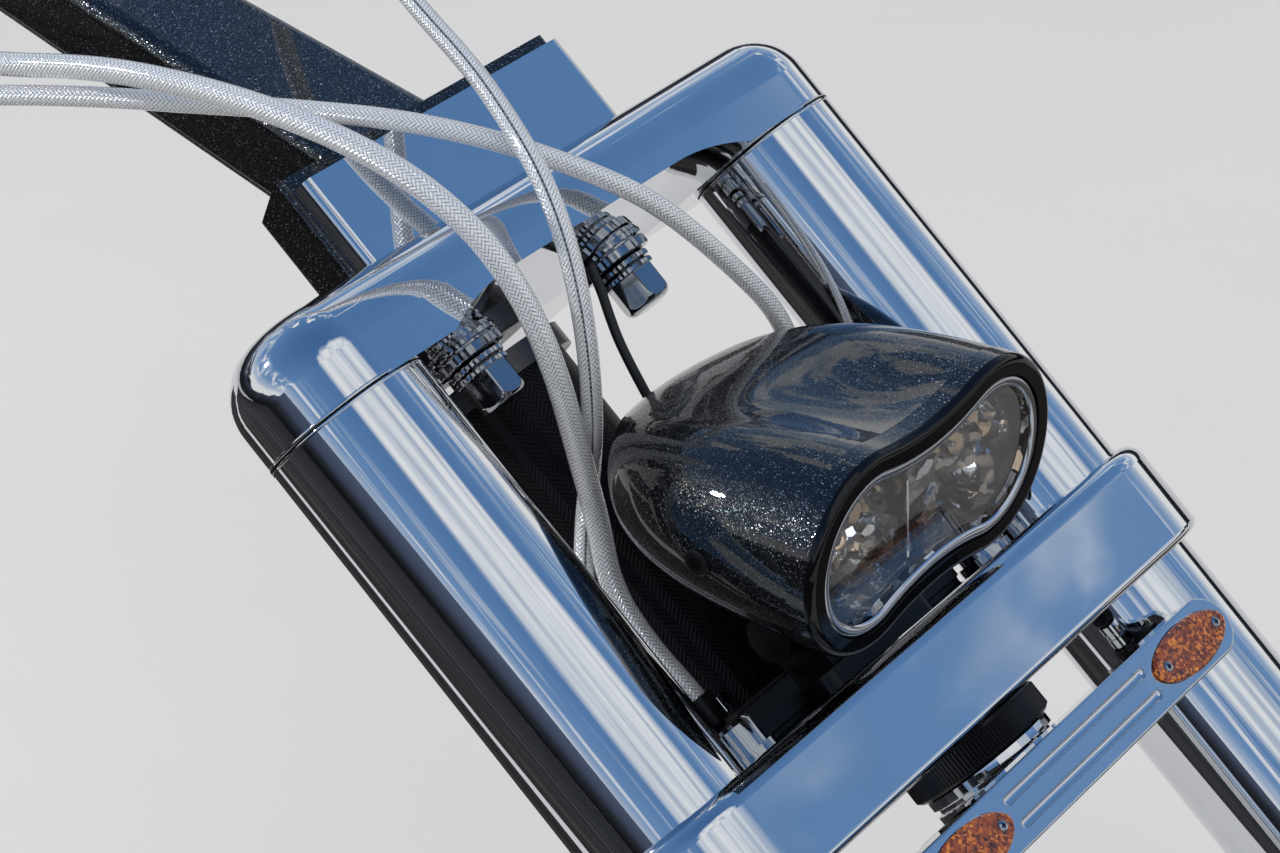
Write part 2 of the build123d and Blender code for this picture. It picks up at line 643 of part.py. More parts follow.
def headlamp_reflector():
    start = RIM_T - RIM_PROUD
    body = front_prism(
        peanut(LENS_LOBE_X - 1, LENS_LOBE_R + 1 - LENS_FIT, LENS_WAIST - POD_WALL - LENS_FIT),
        start,
        start + BOWL_DEPTH + 3,
    )
    for side in (-1, 1):
        body -= Pos(side * LENS_LOBE_X, start - BOWL_LEAD, 0) * Sphere(BOWL_DEPTH + BOWL_LEAD)
    front = LENS_T * 3 / 4 + LENS_FIT
    flange = front_prism(peanut(LENS_LOBE_X, LENS_LOBE_R - LENS_FIT, LENS_WAIST - LENS_FIT), front, start)
    window = peanut(LENS_LOBE_X, LENS_LOBE_R - LENS_FIT - FLANGE_W, LENS_WAIST - LENS_FIT - FLANGE_W)
    flange -= front_prism(window, 0, 2 * start)
    inner = flange.faces().sort_by(Axis.Y)[0].inner_wires()[0].edges()
    rib = box_between((RIB_X - RIB_T / 2, RIB_X + RIB_T / 2), (start - RIB_PROUD, start + 1), (-RIB_H / 2, RIB_H / 2))
    return LAMP * (body + chamfer(inner, FLANGE_BEVEL) + rib)


def headlamp_bulbs():
    bowl_r = BOWL_DEPTH + BOWL_LEAD
    start = RIM_T - RIM_PROUD - BOWL_LEAD + math.sqrt(bowl_r**2 - (BULB_D / 2) ** 2)
    bulb = Rot(90, 0, 0) * Cylinder(BULB_D / 2, BULB_L)
    bulb = fillet(bulb.faces().sort_by(Axis.Y)[0].edges(), BULB_D * 0.45)
    pair = [Pos(side * LENS_LOBE_X, start - BULB_L / 2, 0) * bulb for side in (-1, 1)]
    return LAMP * Compound(children=pair)


def headlamp_bracket():
    y, z = PIVOT
    base_top = LOWER_TOP + BRACKET_BASE_T
    base = box_between(
        (-BRACKET_BASE_W / 2, BRACKET_BASE_W / 2),
        (y - BRACKET_BASE_L / 2, y + BRACKET_BASE_L / 2),
        (LOWER_TOP, base_top),
    )
    base = fillet(base.edges().filter_by(Axis.Z), 6)
    inner = FOOT_W / 2 + SEAT_GAP
    for side in (-1, 1):
        low, high = sorted((side * inner, side * (inner + EAR_T)))
        base += cross_rod(FOOT_EYE_D, low, high, y=y, z=z)
        base += box_between((low, high), (y - FOOT_EYE_D / 2, y + FOOT_EYE_D / 2), (base_top - 1, z))
    base -= cross_rod(PIVOT_D, -BRACKET_BASE_W, BRACKET_BASE_W, y=y, z=z)
    return FORK * base


def headlamp_pivot():
    y, z = PIVOT
    reach = FOOT_W / 2 + SEAT_GAP + EAR_T
    shaft = cross_rod(PIVOT_D, -reach, reach, y=y, z=z)
    for side in (-1, 1):
        low, high = sorted((side * reach, side * (reach + PIVOT_HEAD_H)))
        shaft += cross_rod(PIVOT_HEAD_D, low, high, y=y, z=z)
    return FORK * shaft


# Light bar
def knurled_nut():
    nut = rod(KNOB_D, LOWER_BOTTOM - KNOB_H, LOWER_BOTTOM, y=KNOB_Y)
    nut = chamfer(nut.edges().filter_by(GeomType.CIRCLE), 1)
    return FORK * (nut - rod(POST_D, LOWER_BOTTOM - KNOB_H, LOWER_BOTTOM, y=KNOB_Y))


def lock_collar():
    low = LOWER_BOTTOM - KNOB_H - COLLAR_H
    collar = rod(COLLAR_D, low, low + COLLAR_H, y=KNOB_Y)
    post = rod(POST_D, low + COLLAR_H, LOWER_BOTTOM, y=KNOB_Y)
    return FORK * (collar + post)


def light_bar_bracket():
    back = LIGHT_BAR_FRONT + LIGHT_BAR_T
    low = LOWER_BOTTOM - KNOB_H - COLLAR_H
    arm = box_between(
        (-BRACKET_ARM_HALF, BRACKET_ARM_HALF),
        (back, back + BRACKET_ARM_T),
        (LIGHT_BAR_Z - BRACKET_ARM_H / 2, LIGHT_BAR_Z + BRACKET_ARM_H / 2),
    )
    shelf = box_between(
        (-COLLAR_D / 2, COLLAR_D / 2), (back, KNOB_Y + COLLAR_D / 2), (low - BRACKET_ARM_T, low)
    )
    return FORK * (arm + shelf)


def light_bar():
    face = SlotOverall(LIGHT_BAR_L, LIGHT_BAR_H)
    bar = front_prism(face, LIGHT_BAR_FRONT, LIGHT_BAR_FRONT + LIGHT_BAR_T)
    bar = fillet(bar.faces().sort_by(Axis.Y)[0].edges(), 1)
    before = LIGHT_BAR_FRONT - LIGHT_BAR_T
    groove = front_prism(SlotOverall(2 * GROOVE_HALF, GROOVE_W), before, LIGHT_BAR_FRONT + GROOVE_DEPTH)
    pocket_face = Ellipse(AMBER_L / 2 + LENS_FIT, AMBER_H / 2 + LENS_FIT)
    pocket = front_prism(pocket_face, before, LIGHT_BAR_FRONT + AMBER_DEEP)
    for side in (-1, 1):
        bar -= Pos(0, 0, side * GROOVE_OFFSET) * groove
        bar -= Pos(side * AMBER_X, 0, 0) * pocket
    return FORK * Pos(0, 0, LIGHT_BAR_Z) * bar


def amber_lens():
    lens = front_prism(Ellipse(AMBER_L / 2, AMBER_H / 2), -AMBER_PROUD, AMBER_DEEP)
    lens = fillet(lens.faces().sort_by(Axis.Y)[0].edges(), AMBER_PROUD * 0.8)
    return FORK * Pos(AMBER_X, LIGHT_BAR_FRONT, LIGHT_BAR_Z) * lens


# Lines
def arm_point(side, place, forward, along, up):
    """Point beside a hand control, in fork axes; along is outward."""
    spot = (FORK.inverse() * place * Pos(up, forward, along)).position
    return side * spot.X, spot.Y, spot.Z


def cylinder_end(side, out):
    """Point on the axis of a control's cylinder, out mm before its inner end."""
    return arm_point(side, PERCH_PLACE, CYLINDER_FORWARD, -0.75 * CYLINDER_L - out, 0)


def housing_end(side, out):
    """Point before the port under a switch housing, out mm before its end."""
    return arm_point(side, HOUSING_PLACE, 0, -PORT_L / 2 - out, -PORT_DROP)


LINES = {
    # name: (diameter, fitting's place across, points up to the control, last points at the control)
    "brake_line": (
        9.5,
        -45.0,
        [(-45.5, 46, -129), (-43.5, 44.5, -103), (-37.8, 32, -80), (-43, 13, -61.5), (-58.5, -28.5, -29.5),
         (-64, -46, -2), (-70, -54, 25), (-76, -50, 57), (-81, -30, 95), (-84, 0, 132),
         (-87, 35, 167), (-94, 75, 199), (-108, 108, 234), (-134, 140, 266)],
        [cylinder_end(-1, CYLINDER_RUN), cylinder_end(-1, 0)],
    ),
    "throttle_line": (
        8.0,
        54.0,
        [(55, 43, -131), (62, 29, -108), (66.5, 8, -86), (62, -13, -61), (39.9, -30, -30.5),
         (20.9, -41, -3.5), (4.7, -43, 17.9), (-14.8, -33, 51), (-33.5, -18, 80), (-50.3, 4, 107.8),
         (-67.2, 26, 133.7), (-84.6, 50, 161.7), (-101.9, 76, 188.7), (-122, 106, 217),
         (-147, 140, 246), (-177, 178, 276), (-197, 206, 308)],
        [housing_end(-1, PORT_RUN), housing_end(-1, 0)],
    ),
    "clutch_line": (
        8.2,
        -60.0,
        [(-59.5, 47, -130), (-52, 52, -101), (-33.6, 45, -77.5), (-30.5, 25, -63.5), (-40.2, -10, -47.4),
         (-40.8, -35, -25), (-35.6, -49, 0.7), (-28.6, -53.5, 26), (-17.9, -47, 51.1),
         (-3.9, -34.5, 79), (9.7, -17, 112.6), (26, 1, 151), (46.8, 27.6, 190.2),
         (76.8, 63.6, 222.1), (108.8, 100.6, 252.1), (138, 132, 282)],
        [cylinder_end(1, CYLINDER_RUN), cylinder_end(1, 0)],
    ),
}
LAMP_WIRE_D = 4.0
LAMP_WIRE = [(26.3, 16.4, 1), (25, 18.2, -8), (22.3, 21.5, -19), (20.6, 25, -30), (19.5, 28.5, -45), (18.7, 32, -62),
             (18.7, 33, -85), (21, 31, -115), (25, 29, -145), (27, 29, -177)]


def line_tube(name, diameter, points):
    """Tube along straight runs and arcs, with its corner radii printed."""
    spots = [Vector(*p) for p in points]
    runs = [b - a for a, b in zip(spots, spots[1:])]
    radii = []
    for before, after in zip(runs, runs[1:]):
        half_turn = math.radians(before.get_angle(after)) / 2
        radii.append(0.45 * min(before.length, after.length) / math.tan(half_turn))
    print(name, "radii in diameters", [round(r / diameter) for r in radii])
    path = FilletPolyline(*points, radius=radii)
    return FORK * sweep((path ^ 0) * Circle(diameter / 2), path)


def line_block(side):
    """Junction block on the lower clamp, with a fitting for each line that comes down to it."""
    w, d, h = BLOCK_SIZE
    x = side * BLOCK_X
    top = LOWER_TOP + h
    block = box_between((x - w / 2, x + w / 2), (BLOCK_Y - d / 2, BLOCK_Y + d / 2), (LOWER_TOP, top))
    plan = clamp_plan(LOWER_R - BLOCK_INSET, LOWER_BOSS_R - BLOCK_INSET)
    block &= Pos(0, 0, LOWER_TOP) * extrude(plan, h)
    for diameter, across, _, _ in LINES.values():
        if across * side > 0:
            outer = diameter + 2 * FITTING_WALL
            block += rod(outer, top, top + FITTING_L, x=across, y=BLOCK_Y)
            block -= rod(diameter, top, top + 2 * FITTING_L, x=across, y=BLOCK_Y)
    return FORK * block


save("steering_head", steering_head())
save("backbone_stub", backbone_stub())
save("upper_bearing_cup", bearing_cup(NECK_TOP, NECK_TOP - CUP_H))
save("lower_bearing_cup", bearing_cup(NECK_BOTTOM, NECK_BOTTOM + CUP_H))
save("top_clamp", top_clamp())
save("lower_clamp", lower_clamp())
save("steering_stem", steering_stem())
save("stem_nut", stem_nut())
both_sides("upper_tube", upper_tube())
both_sides("seal_ring", seal_ring())
both_sides("stanchion", stanchion())
both_sides("axle_lug", axle_lug())
save("axle", axle())
save("axle_nut", axle_nut())
both_sides("riser_damper", riser_damper())
both_sides("riser_bolt", riser_bolt())
both_sides("clamp_cap_bolt", clamp_cap_bolt())
save("handlebar_riser", handlebar_riser())
save("riser_plate", riser_plate())
save("handlebar", handlebar())
both_sides("grip", grip())
both_sides("switch_housing", switch_housing())
both_sides("hand_control", hand_control())
both_sides("lever", lever())
save("headlamp_shell", headlamp_shell())
save("headlamp_rim", headlamp_rim())
save("headlamp_lens", headlamp_lens())
save("headlamp_reflector", headlamp_reflector())
save("headlamp_bulbs", headlamp_bulbs())
save("headlamp_bracket", headlamp_bracket())
save("headlamp_pivot", headlamp_pivot())
save("knurled_nut", knurled_nut())
save("lock_collar", lock_collar())
save("light_bar_bracket", light_bar_bracket())
save("light_bar", light_bar())
both_sides("amber_lens", amber_lens())
save("line_block_left", line_block(1))
save("line_block_right", line_block(-1))
for name, (diameter, across, middle, last) in LINES.items():
    top = LOWER_TOP + BLOCK_SIZE[2]
    foot = [(across, BLOCK_Y, top), (across, BLOCK_Y, top + FITTING_L + 2)]
    save(name, line_tube(name, diameter, [*foot, *middle, *last]))
save("lamp_wire", line_tube("lamp_wire", LAMP_WIRE_D, LAMP_WIRE))
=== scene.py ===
"""Looks for the chopper motorcycle front end: materials, braided lines, lamp and fastener detail, light and camera."""
import json
import math

import bmesh
import bpy
from mathutils import Matrix, Vector


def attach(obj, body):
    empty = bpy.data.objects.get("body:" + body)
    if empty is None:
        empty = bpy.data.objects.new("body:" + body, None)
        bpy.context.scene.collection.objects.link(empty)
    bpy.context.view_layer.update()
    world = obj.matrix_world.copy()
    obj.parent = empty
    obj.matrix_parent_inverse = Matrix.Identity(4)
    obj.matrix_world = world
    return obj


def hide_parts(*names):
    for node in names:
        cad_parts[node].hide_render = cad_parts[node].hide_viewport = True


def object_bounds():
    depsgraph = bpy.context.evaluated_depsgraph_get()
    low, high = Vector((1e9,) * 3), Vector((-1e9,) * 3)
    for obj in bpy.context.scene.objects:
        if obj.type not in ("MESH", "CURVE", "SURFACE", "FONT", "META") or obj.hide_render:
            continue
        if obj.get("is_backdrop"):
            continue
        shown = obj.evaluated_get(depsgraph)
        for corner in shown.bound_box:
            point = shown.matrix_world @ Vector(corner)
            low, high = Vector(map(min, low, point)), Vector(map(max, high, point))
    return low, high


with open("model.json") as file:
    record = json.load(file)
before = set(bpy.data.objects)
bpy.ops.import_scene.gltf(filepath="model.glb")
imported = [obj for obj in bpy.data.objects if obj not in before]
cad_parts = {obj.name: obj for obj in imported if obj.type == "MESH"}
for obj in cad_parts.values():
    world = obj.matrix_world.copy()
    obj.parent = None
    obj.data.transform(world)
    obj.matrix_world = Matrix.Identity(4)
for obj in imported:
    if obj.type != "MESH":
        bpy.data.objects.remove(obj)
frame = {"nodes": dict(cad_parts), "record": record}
cad_low, cad_high = (list(corner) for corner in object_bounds())
nodes = frame["nodes"]

MM = 0.001
RAKE = math.radians(48.0)
STEM_OFFSET, NECK_MID, NECK_TO_FACE, BACKBONE_DROP = 78.0, -92.0, 110.0, 17.0
SEAM_Y = -NECK_TO_FACE - (STEM_OFFSET * math.cos(RAKE) + NECK_MID * math.sin(RAKE))
SEAM_Z = BACKBONE_DROP - (-STEM_OFFSET * math.sin(RAKE) + NECK_MID * math.cos(RAKE))
FORK = Matrix.Translation((0, SEAM_Y, SEAM_Z)) @ Matrix.Rotation(-RAKE, 4, "X")
FORK_TURN = FORK.to_3x3()
FORK_UP, FORK_FORWARD = FORK_TURN @ Vector((0, 0, 1)), FORK_TURN @ Vector((0, -1, 0))
LAMP_AT = FORK @ Vector((0, -75.0, -152.5))
SIDES = ((-1, "right"), (1, "left"))


def in_fork(x, y, z):
    """World place, in metres, of a point given in the fork's own millimetres."""
    return (FORK @ Vector((x, y, z))) * MM


def in_lamp(x, y, z):
    """World place, in metres, of a point in millimetres from the middle of the lamp's lens, level axes."""
    return (LAMP_AT + Vector((x, y, z))) * MM


# Materials

def add_node(tree, kind, inputs=None, **settings):
    """Adds a node with these settings. Each input is a plain value or another node's output to link."""
    made = tree.nodes.new(kind)
    for key, value in settings.items():
        setattr(made, key, value)
    for key, value in (inputs or {}).items():
        if isinstance(value, bpy.types.NodeSocket):
            tree.links.new(value, made.inputs[key])
        else:
            made.inputs[key].default_value = value
    return made


def add_math(tree, operation, *values):
    return add_node(tree, "ShaderNodeMath", dict(enumerate(values)), operation=operation).outputs[0]


def add_spread(tree, value, low, high, to_low=0.0, to_high=1.0):
    """Maps low..high onto to_low..to_high and holds it there beyond both ends."""
    return add_node(tree, "ShaderNodeMapRange", {0: value, 1: low, 2: high, 3: to_low, 4: to_high}).outputs[0]


def add_ramp(tree, value, stops):
    """Colours a value by (position, colour) stops."""
    made = add_node(tree, "ShaderNodeValToRGB", {0: value})
    band = made.color_ramp
    while len(band.elements) < len(stops):
        band.elements.new(0.5)
    for element, (at, colour) in zip(band.elements, stops):
        element.position = at
        element.color = (*colour, 1.0)
    return made.outputs[0]


def add_mix(tree, share, first, second):
    """Blends two colours, each given as three parts or as another node's output."""
    first, second = ((*side, 1.0) if isinstance(side, tuple) else side for side in (first, second))
    return add_node(tree, "ShaderNodeMix", {0: share, 6: first, 7: second}, data_type="RGBA").outputs[2]


class Look:
    """A node material with short ways to add nodes."""

    def __init__(self, name, colour, rough, metal=0.0, **more):
        self.material = bpy.data.materials.new(name)
        self.material.use_nodes = True
        self.tree = self.material.node_tree
        self.shader = self.tree.nodes["Principled BSDF"]
        self.place = self.add("ShaderNodeTexCoord")
        self.set("Base Color", (*colour, 1.0))
        self.set("Roughness", rough)
        self.set("Metallic", metal)
        for key, value in more.items():
            self.set(key.replace("_", " "), value)

    def set(self, name, value):
        if isinstance(value, bpy.types.NodeSocket):
            self.tree.links.new(value, self.shader.inputs[name])
        else:
            self.shader.inputs[name].default_value = value

    def add(self, kind, inputs=None, **settings):
        return add_node(self.tree, kind, inputs, **settings)

    def math(self, operation, *values):
        return add_math(self.tree, operation, *values)

    def vector(self, operation, inputs):
        return self.add("ShaderNodeVectorMath", inputs, operation=operation).outputs[0]

    def spread(self, value, low, high, to_low, to_high):
        return add_spread(self.tree, value, low, high, to_low, to_high)

    def ramp(self, value, *stops):
        return add_ramp(self.tree, value, stops)

    def mix(self, share, first, second):
        return add_mix(self.tree, share, first, second)

    def choose(self, share, first, second):
        """Blends two numbers."""
        return self.add("ShaderNodeMix", {0: share, 2: first, 3: second}).outputs[0]

    def noise(self, scale, detail=4.0, rough=0.5, where=None):
        spot = where if where is not None else self.place.outputs["Object"]
        inputs = {"Vector": spot, "Scale": scale, "Detail": detail, "Roughness": rough}
        return self.add("ShaderNodeTexNoise", inputs).outputs[0]

    def cells(self, scale, where=None):
        spot = where if where is not None else self.place.outputs["Object"]
        return self.add("ShaderNodeTexVoronoi", {"Vector": spot, "Scale": scale})

    def ridges(self, value, rate):
        """Rounded ridges from 0 to 1, one for each half turn of value times rate."""
        return self.math("ABSOLUTE", self.math("SINE", self.math("MULTIPLY", value, rate)))

    def bump(self, height, strength, distance, under=None):
        inputs = {"Height": height, "Strength": strength, "Distance": distance}
        if under is not None:
            inputs["Normal"] = under
        return self.add("ShaderNodeBump", inputs).outputs[0]

    def leaning(self, cells, tilt):
        """The surface's normal, made to lean its own way in each cell."""
        centred = self.vector("SUBTRACT", {0: cells.outputs["Color"], 1: (0.5, 0.5, 0.5)})
        lean = self.vector("SCALE", {0: centred, "Scale": tilt})
        facing = self.add("ShaderNodeNewGeometry").outputs["Normal"]
        return self.vector("NORMALIZE", {0: self.vector("ADD", {0: facing, 1: lean})})

    def in_fork_frame(self):
        """Object coordinates turned so that Z runs along the fork, in metres."""
        shifted = self.vector("ADD", {0: self.place.outputs["Object"], 1: -in_fork(0, 0, 0)})
        return self.add("ShaderNodeVectorRotate", {"Vector": shifted, "Angle": RAKE}, rotation_type="X_AXIS").outputs[0]


def plated(name, colour, rough, wave=0.00006):
    """Bright plating: faint smears, a little settled dust and a slow waviness that bends reflections."""
    look = Look(name, colour, rough, 1.0)
    smear = look.noise(38, 6, 0.62)
    dust = look.noise(2600, 2, 0.5)
    film = look.spread(smear, 0.35, 0.75, rough, rough + 0.045)
    specks = look.spread(dust, 0.71, 0.79, 0.0, 0.16)
    look.set("Roughness", look.math("ADD", film, specks))
    dull = tuple(0.93 * part for part in colour)
    look.set("Base Color", look.ramp(smear, (0.3, colour), (0.8, dull)))
    look.set("Normal", look.bump(look.noise(13, 2, 0.4), 1.0, wave))
    return look.material


def brushed(name, colour, rough):
    """Zinc-plated or machined steel with fine turning lines across the fork's axis."""
    look = Look(name, colour, rough, 1.0)
    stretched = look.add("ShaderNodeMapping", {"Vector": look.in_fork_frame(), "Scale": (30, 30, 2600)}).outputs[0]
    lines = look.noise(1.0, 3, 0.6, stretched)
    patches = look.noise(90, 5, 0.6)
    look.set("Roughness", look.spread(lines, 0.3, 0.7, rough - 0.07, rough + 0.10))
    look.set("Base Color", look.ramp(patches, (0.3, colour), (0.75, tuple(0.8 * part for part in colour))))
    look.set("Normal", look.bump(lines, 0.35, 0.00008))
    return look.material


def flake(name, base, share, tilt):
    """Black metal flake under clear coat: some of the small cells are flakes, each with its own tilt and tint."""
    look = Look(name, base, 0.28, 0.0, Coat_Weight=1.0, Coat_Roughness=0.015, Coat_IOR=1.5, Specular_IOR_Level=0.1)
    cells = look.cells(2900)
    mixed = look.add("ShaderNodeSeparateColor", {0: cells.outputs["Color"]})
    lit = look.spread(mixed.outputs[0], 1.0 - share, 1.03 - share, 0.0, 1.0)
    tint = look.ramp(mixed.outputs[1],
                     (0.0, (0.05, 0.06, 0.08)), (0.25, (0.11, 0.09, 0.06)), (0.45, (0.07, 0.08, 0.09)),
                     (0.65, (0.05, 0.08, 0.065)), (0.86, (0.08, 0.065, 0.10)), (1.0, (0.90, 0.91, 0.93)))
    look.set("Base Color", look.mix(lit, base, tint))
    look.set("Metallic", lit)
    look.set("Normal", look.leaning(cells, tilt))
    return look.material


def painted(name, colour, rough, grain, coat=0.0, sheen=0.3):
    """Black paint or plastic: fine grain, soft smears and a trace of dust."""
    look = Look(name, colour, rough, 0.0, Coat_Weight=coat, Coat_Roughness=0.03, Specular_IOR_Level=sheen)
    smear = look.noise(45, 5, 0.6)
    look.set("Roughness", look.spread(smear, 0.3, 0.75, max(rough - 0.06, 0.03), rough + 0.10))
    dust = look.spread(look.noise(1900, 2, 0.5), 0.72, 0.82, 0.0, 0.3)
    look.set("Base Color", look.mix(dust, colour, (0.08, 0.078, 0.075)))
    look.set("Normal", look.bump(look.noise(1500, 3, 0.6), grain, 0.00006))
    return look.material


def woven_black():
    """Black woven wrap on the steering neck, a fine twill that runs round the stem's axis."""
    threads_round, threads_per_metre = 88, 440.0
    look = Look("neck_weave", (0.003, 0.003, 0.004), 0.42, 0.0, Specular_IOR_Level=0.18)
    apart = look.add("ShaderNodeSeparateXYZ", {0: look.in_fork_frame()})
    across = look.math("SUBTRACT", apart.outputs[1], STEM_OFFSET * MM)
    turn = look.math("ARCTAN2", across, apart.outputs[0])
    u = look.math("MULTIPLY", turn, threads_round / math.tau)
    v = look.math("MULTIPLY", apart.outputs[2], threads_per_metre)
    one = look.ridges(look.math("ADD", u, v), math.pi)
    two = look.ridges(look.math("SUBTRACT", u, v), math.pi)
    side = look.spread(look.math("SINE", look.math("MULTIPLY", u, math.pi / 2)), -0.1, 0.1, 0.0, 1.0)
    height = look.choose(side, one, two)
    # Painted shade: the colour follows the threads' height, darker in the weave's low parts than on its crowns.
    look.set("Base Color", look.ramp(height, (0.35, (0.0010, 0.0010, 0.0014)), (1.0, (0.0060, 0.0060, 0.0080))))
    look.set("Normal", look.bump(height, 0.7, 0.0004))
    return look.material


def braided(name, strands, thread=None):
    """Bright wire braid under a clear sleeve. It reads the tube's own map: round it in u, along it in v.

    Two families of strands cross, each over two and under two. A dark tracer thread may run along it at u = thread.
    """
    metal, thread_half = 0.35, 0.016
    look = Look(name, (0.9, 0.92, 0.95), 0.20, metal, Coat_Weight=1.0, Coat_Roughness=0.05)
    apart = look.add("ShaderNodeSeparateXYZ", {0: look.place.outputs["UV"]})
    u = look.math("MULTIPLY", apart.outputs[0], float(strands))
    v = look.math("MULTIPLY", apart.outputs[1], float(strands))
    a, b = look.math("ADD", u, v), look.math("SUBTRACT", u, v)
    count = look.math("ADD", look.math("FLOOR", a), look.math("FLOOR", b))
    pick = look.math("LESS_THAN", look.math("FLOORED_MODULO", count, 4.0), 1.5)

    def strand(across, along):
        arch = look.spread(look.ridges(along, math.pi / 2), 0.0, 0.6, 0.55, 1.0)
        wires = look.spread(look.ridges(across, math.pi * 4), 0.0, 0.5, 0.8, 1.0)
        return look.math("MULTIPLY", look.math("MULTIPLY", look.ridges(across, math.pi), arch), wires)

    height = look.choose(pick, strand(a, b), strand(b, a))
    # Painted shade and highlight: the colour follows the strands' height, dark in the gaps and down the flanks, white
    # on the crowns.
    shaded_tone = look.ramp(height, (0.05, (0.05, 0.06, 0.08)), (0.26, (0.66, 0.70, 0.76)), (0.60, (1.0, 1.0, 1.0)))
    if thread is not None:
        off = look.math("ABSOLUTE", look.math("SUBTRACT", apart.outputs[0], thread))
        dark = look.math("MULTIPLY", look.math("LESS_THAN", off, thread_half), look.spread(height, 0.25, 0.5, 0.0, 1.0))
        shaded_tone = look.mix(dark, shaded_tone, (0.012, 0.014, 0.02))
        look.set("Metallic", look.spread(dark, 0.0, 1.0, metal, 0.0))
    look.set("Base Color", shaded_tone)
    look.set("Normal", look.bump(height, 0.9, 0.00030))
    return look.material


def rubbery(name, colour, rough):
    """Black rubber or cable sheath: fine grain, and paler where it is worn."""
    look = Look(name, colour, rough)
    grain = look.noise(2200, 4, 0.6)
    wear = look.noise(40, 4, 0.6)
    look.set("Base Color", look.ramp(wear, (0.35, colour), (0.8, tuple(1.9 * part for part in colour))))
    look.set("Roughness", look.spread(wear, 0.3, 0.75, rough - 0.1, rough + 0.08))
    look.set("Normal", look.bump(grain, 0.5, 0.00015))
    return look.material


def glassy(name, colour, rough, ior=1.5):
    """Clear glass with a faint uneven haze."""
    look = Look(name, colour, rough, 0.0, Transmission_Weight=1.0, IOR=ior)
    haze = look.noise(60, 5, 0.6)
    look.set("Roughness", look.spread(haze, 0.4, 0.75, rough, rough + 0.008))
    look.set("Base Color", look.ramp(haze, (0.3, colour), (0.8, tuple(0.96 * part for part in colour))))
    return look.material


def mirror_bowl():
    """Vacuum-metallised lamp bowl, cut into small drawn-out facets that each lean their own way, with a painted
    reflection in each facet's colour.
    """
    look = Look("lamp_mirror", (0.30, 0.29, 0.28), 0.03, 1.0)
    spot = look.place.outputs["Object"]
    soft = look.add("ShaderNodeTexNoise", {"Vector": spot, "Scale": 60.0, "Detail": 3.0})
    bend = look.vector("SCALE", {0: soft.outputs["Color"], "Scale": 0.014})
    bent = look.vector("ADD", {0: spot, 1: bend})
    drawn = look.add("ShaderNodeMapping", {"Vector": bent, "Scale": (100, 260, 210)}).outputs[0]
    cells = look.cells(1.0, drawn)
    shade = look.add("ShaderNodeSeparateColor", {0: cells.outputs["Color"]}).outputs[1]
    # Painted reflection: each facet's colour, from dark brown through amber to bright silver, stands in for what it
    # mirrors.
    look.set("Base Color", look.ramp(
        shade, (0.0, (0.040, 0.034, 0.030)), (0.30, (0.10, 0.085, 0.070)), (0.42, (0.33, 0.25, 0.17)),
        (0.52, (0.16, 0.15, 0.14)), (0.66, (0.70, 0.72, 0.76)), (0.78, (0.06, 0.055, 0.05)), (1.0, (0.85, 0.87, 0.90))))
    look.set("Normal", look.bump(soft.outputs[0], 0.8, 0.0012, look.leaning(cells, 0.75)))
    return look.material


def amber_lens():
    """Orange indicator lens, pebbled inside, with painted highlights and painted shade in its dark and bright facets.
    """
    look = Look("amber_plastic", (0.42, 0.10, 0.010), 0.16, 0.0,
                Coat_Weight=1.0, Coat_Roughness=0.03, Specular_IOR_Level=0.3)
    cells = look.cells(820)
    shade = look.add("ShaderNodeSeparateColor", {0: cells.outputs["Color"]}).outputs[0]
    # Painted light: the orange is the lens's own, but the dark and bright facets are painted shade and painted
    # highlights.
    painted_facet_shine = look.math("ADD", look.math("MULTIPLY", shade, 0.62), look.math("MULTIPLY", look.noise(260, 3, 0.6), 0.5))
    look.set("Base Color", look.ramp(painted_facet_shine, (0.22, (0.055, 0.008, 0.001)), (0.50, (0.22, 0.040, 0.003)),
                                     (0.72, (0.42, 0.095, 0.006)), (0.90, (0.80, 0.27, 0.03))))
    look.set("Normal", look.bump(cells.outputs["Distance"], 0.6, 0.0007))
    return look.material


CHROME = plated("chrome_plate", (0.70, 0.715, 0.735), 0.018)
DARK_CHROME = plated("dark_chrome_plate", (0.36, 0.37, 0.39), 0.05)
STEEL = brushed("bright_steel", (0.62, 0.61, 0.58), 0.22)
OXIDE = brushed("oxide_steel", (0.075, 0.075, 0.080), 0.30)
FLAKE = flake("flake_black", (0.002, 0.002, 0.003), 0.20, 0.34)
GLOSS = painted("gloss_black", (0.003, 0.003, 0.004), 0.08, 0.02, 0.6, 0.0)
SATIN = painted("satin_black", (0.007, 0.007, 0.008), 0.32, 0.25)
# Near-black stand-in for the shade inside slots, sockets and the tube seams: painted shade, with a trace of dust.
RECESS_SHADE = painted("painted_recess_shade", (0.003, 0.003, 0.003), 0.6, 0.2, 0.0, 0.1)
WEAVE = woven_black()
RUBBER = rubbery("black_rubber", (0.012, 0.012, 0.012), 0.55)
WIRE = rubbery("wire_sleeve", (0.008, 0.008, 0.008), 0.45)
CLEAR = glassy("clear_lens_glass", (0.98, 0.985, 0.99), 0.0)
BULB = glassy("bulb_glass", (0.90, 0.90, 0.90), 0.03, 1.14)
BOWL = mirror_bowl()
BEVEL = plated("lens_bevel", (0.52, 0.55, 0.60), 0.16, 0.0003)
AMBER = amber_lens()

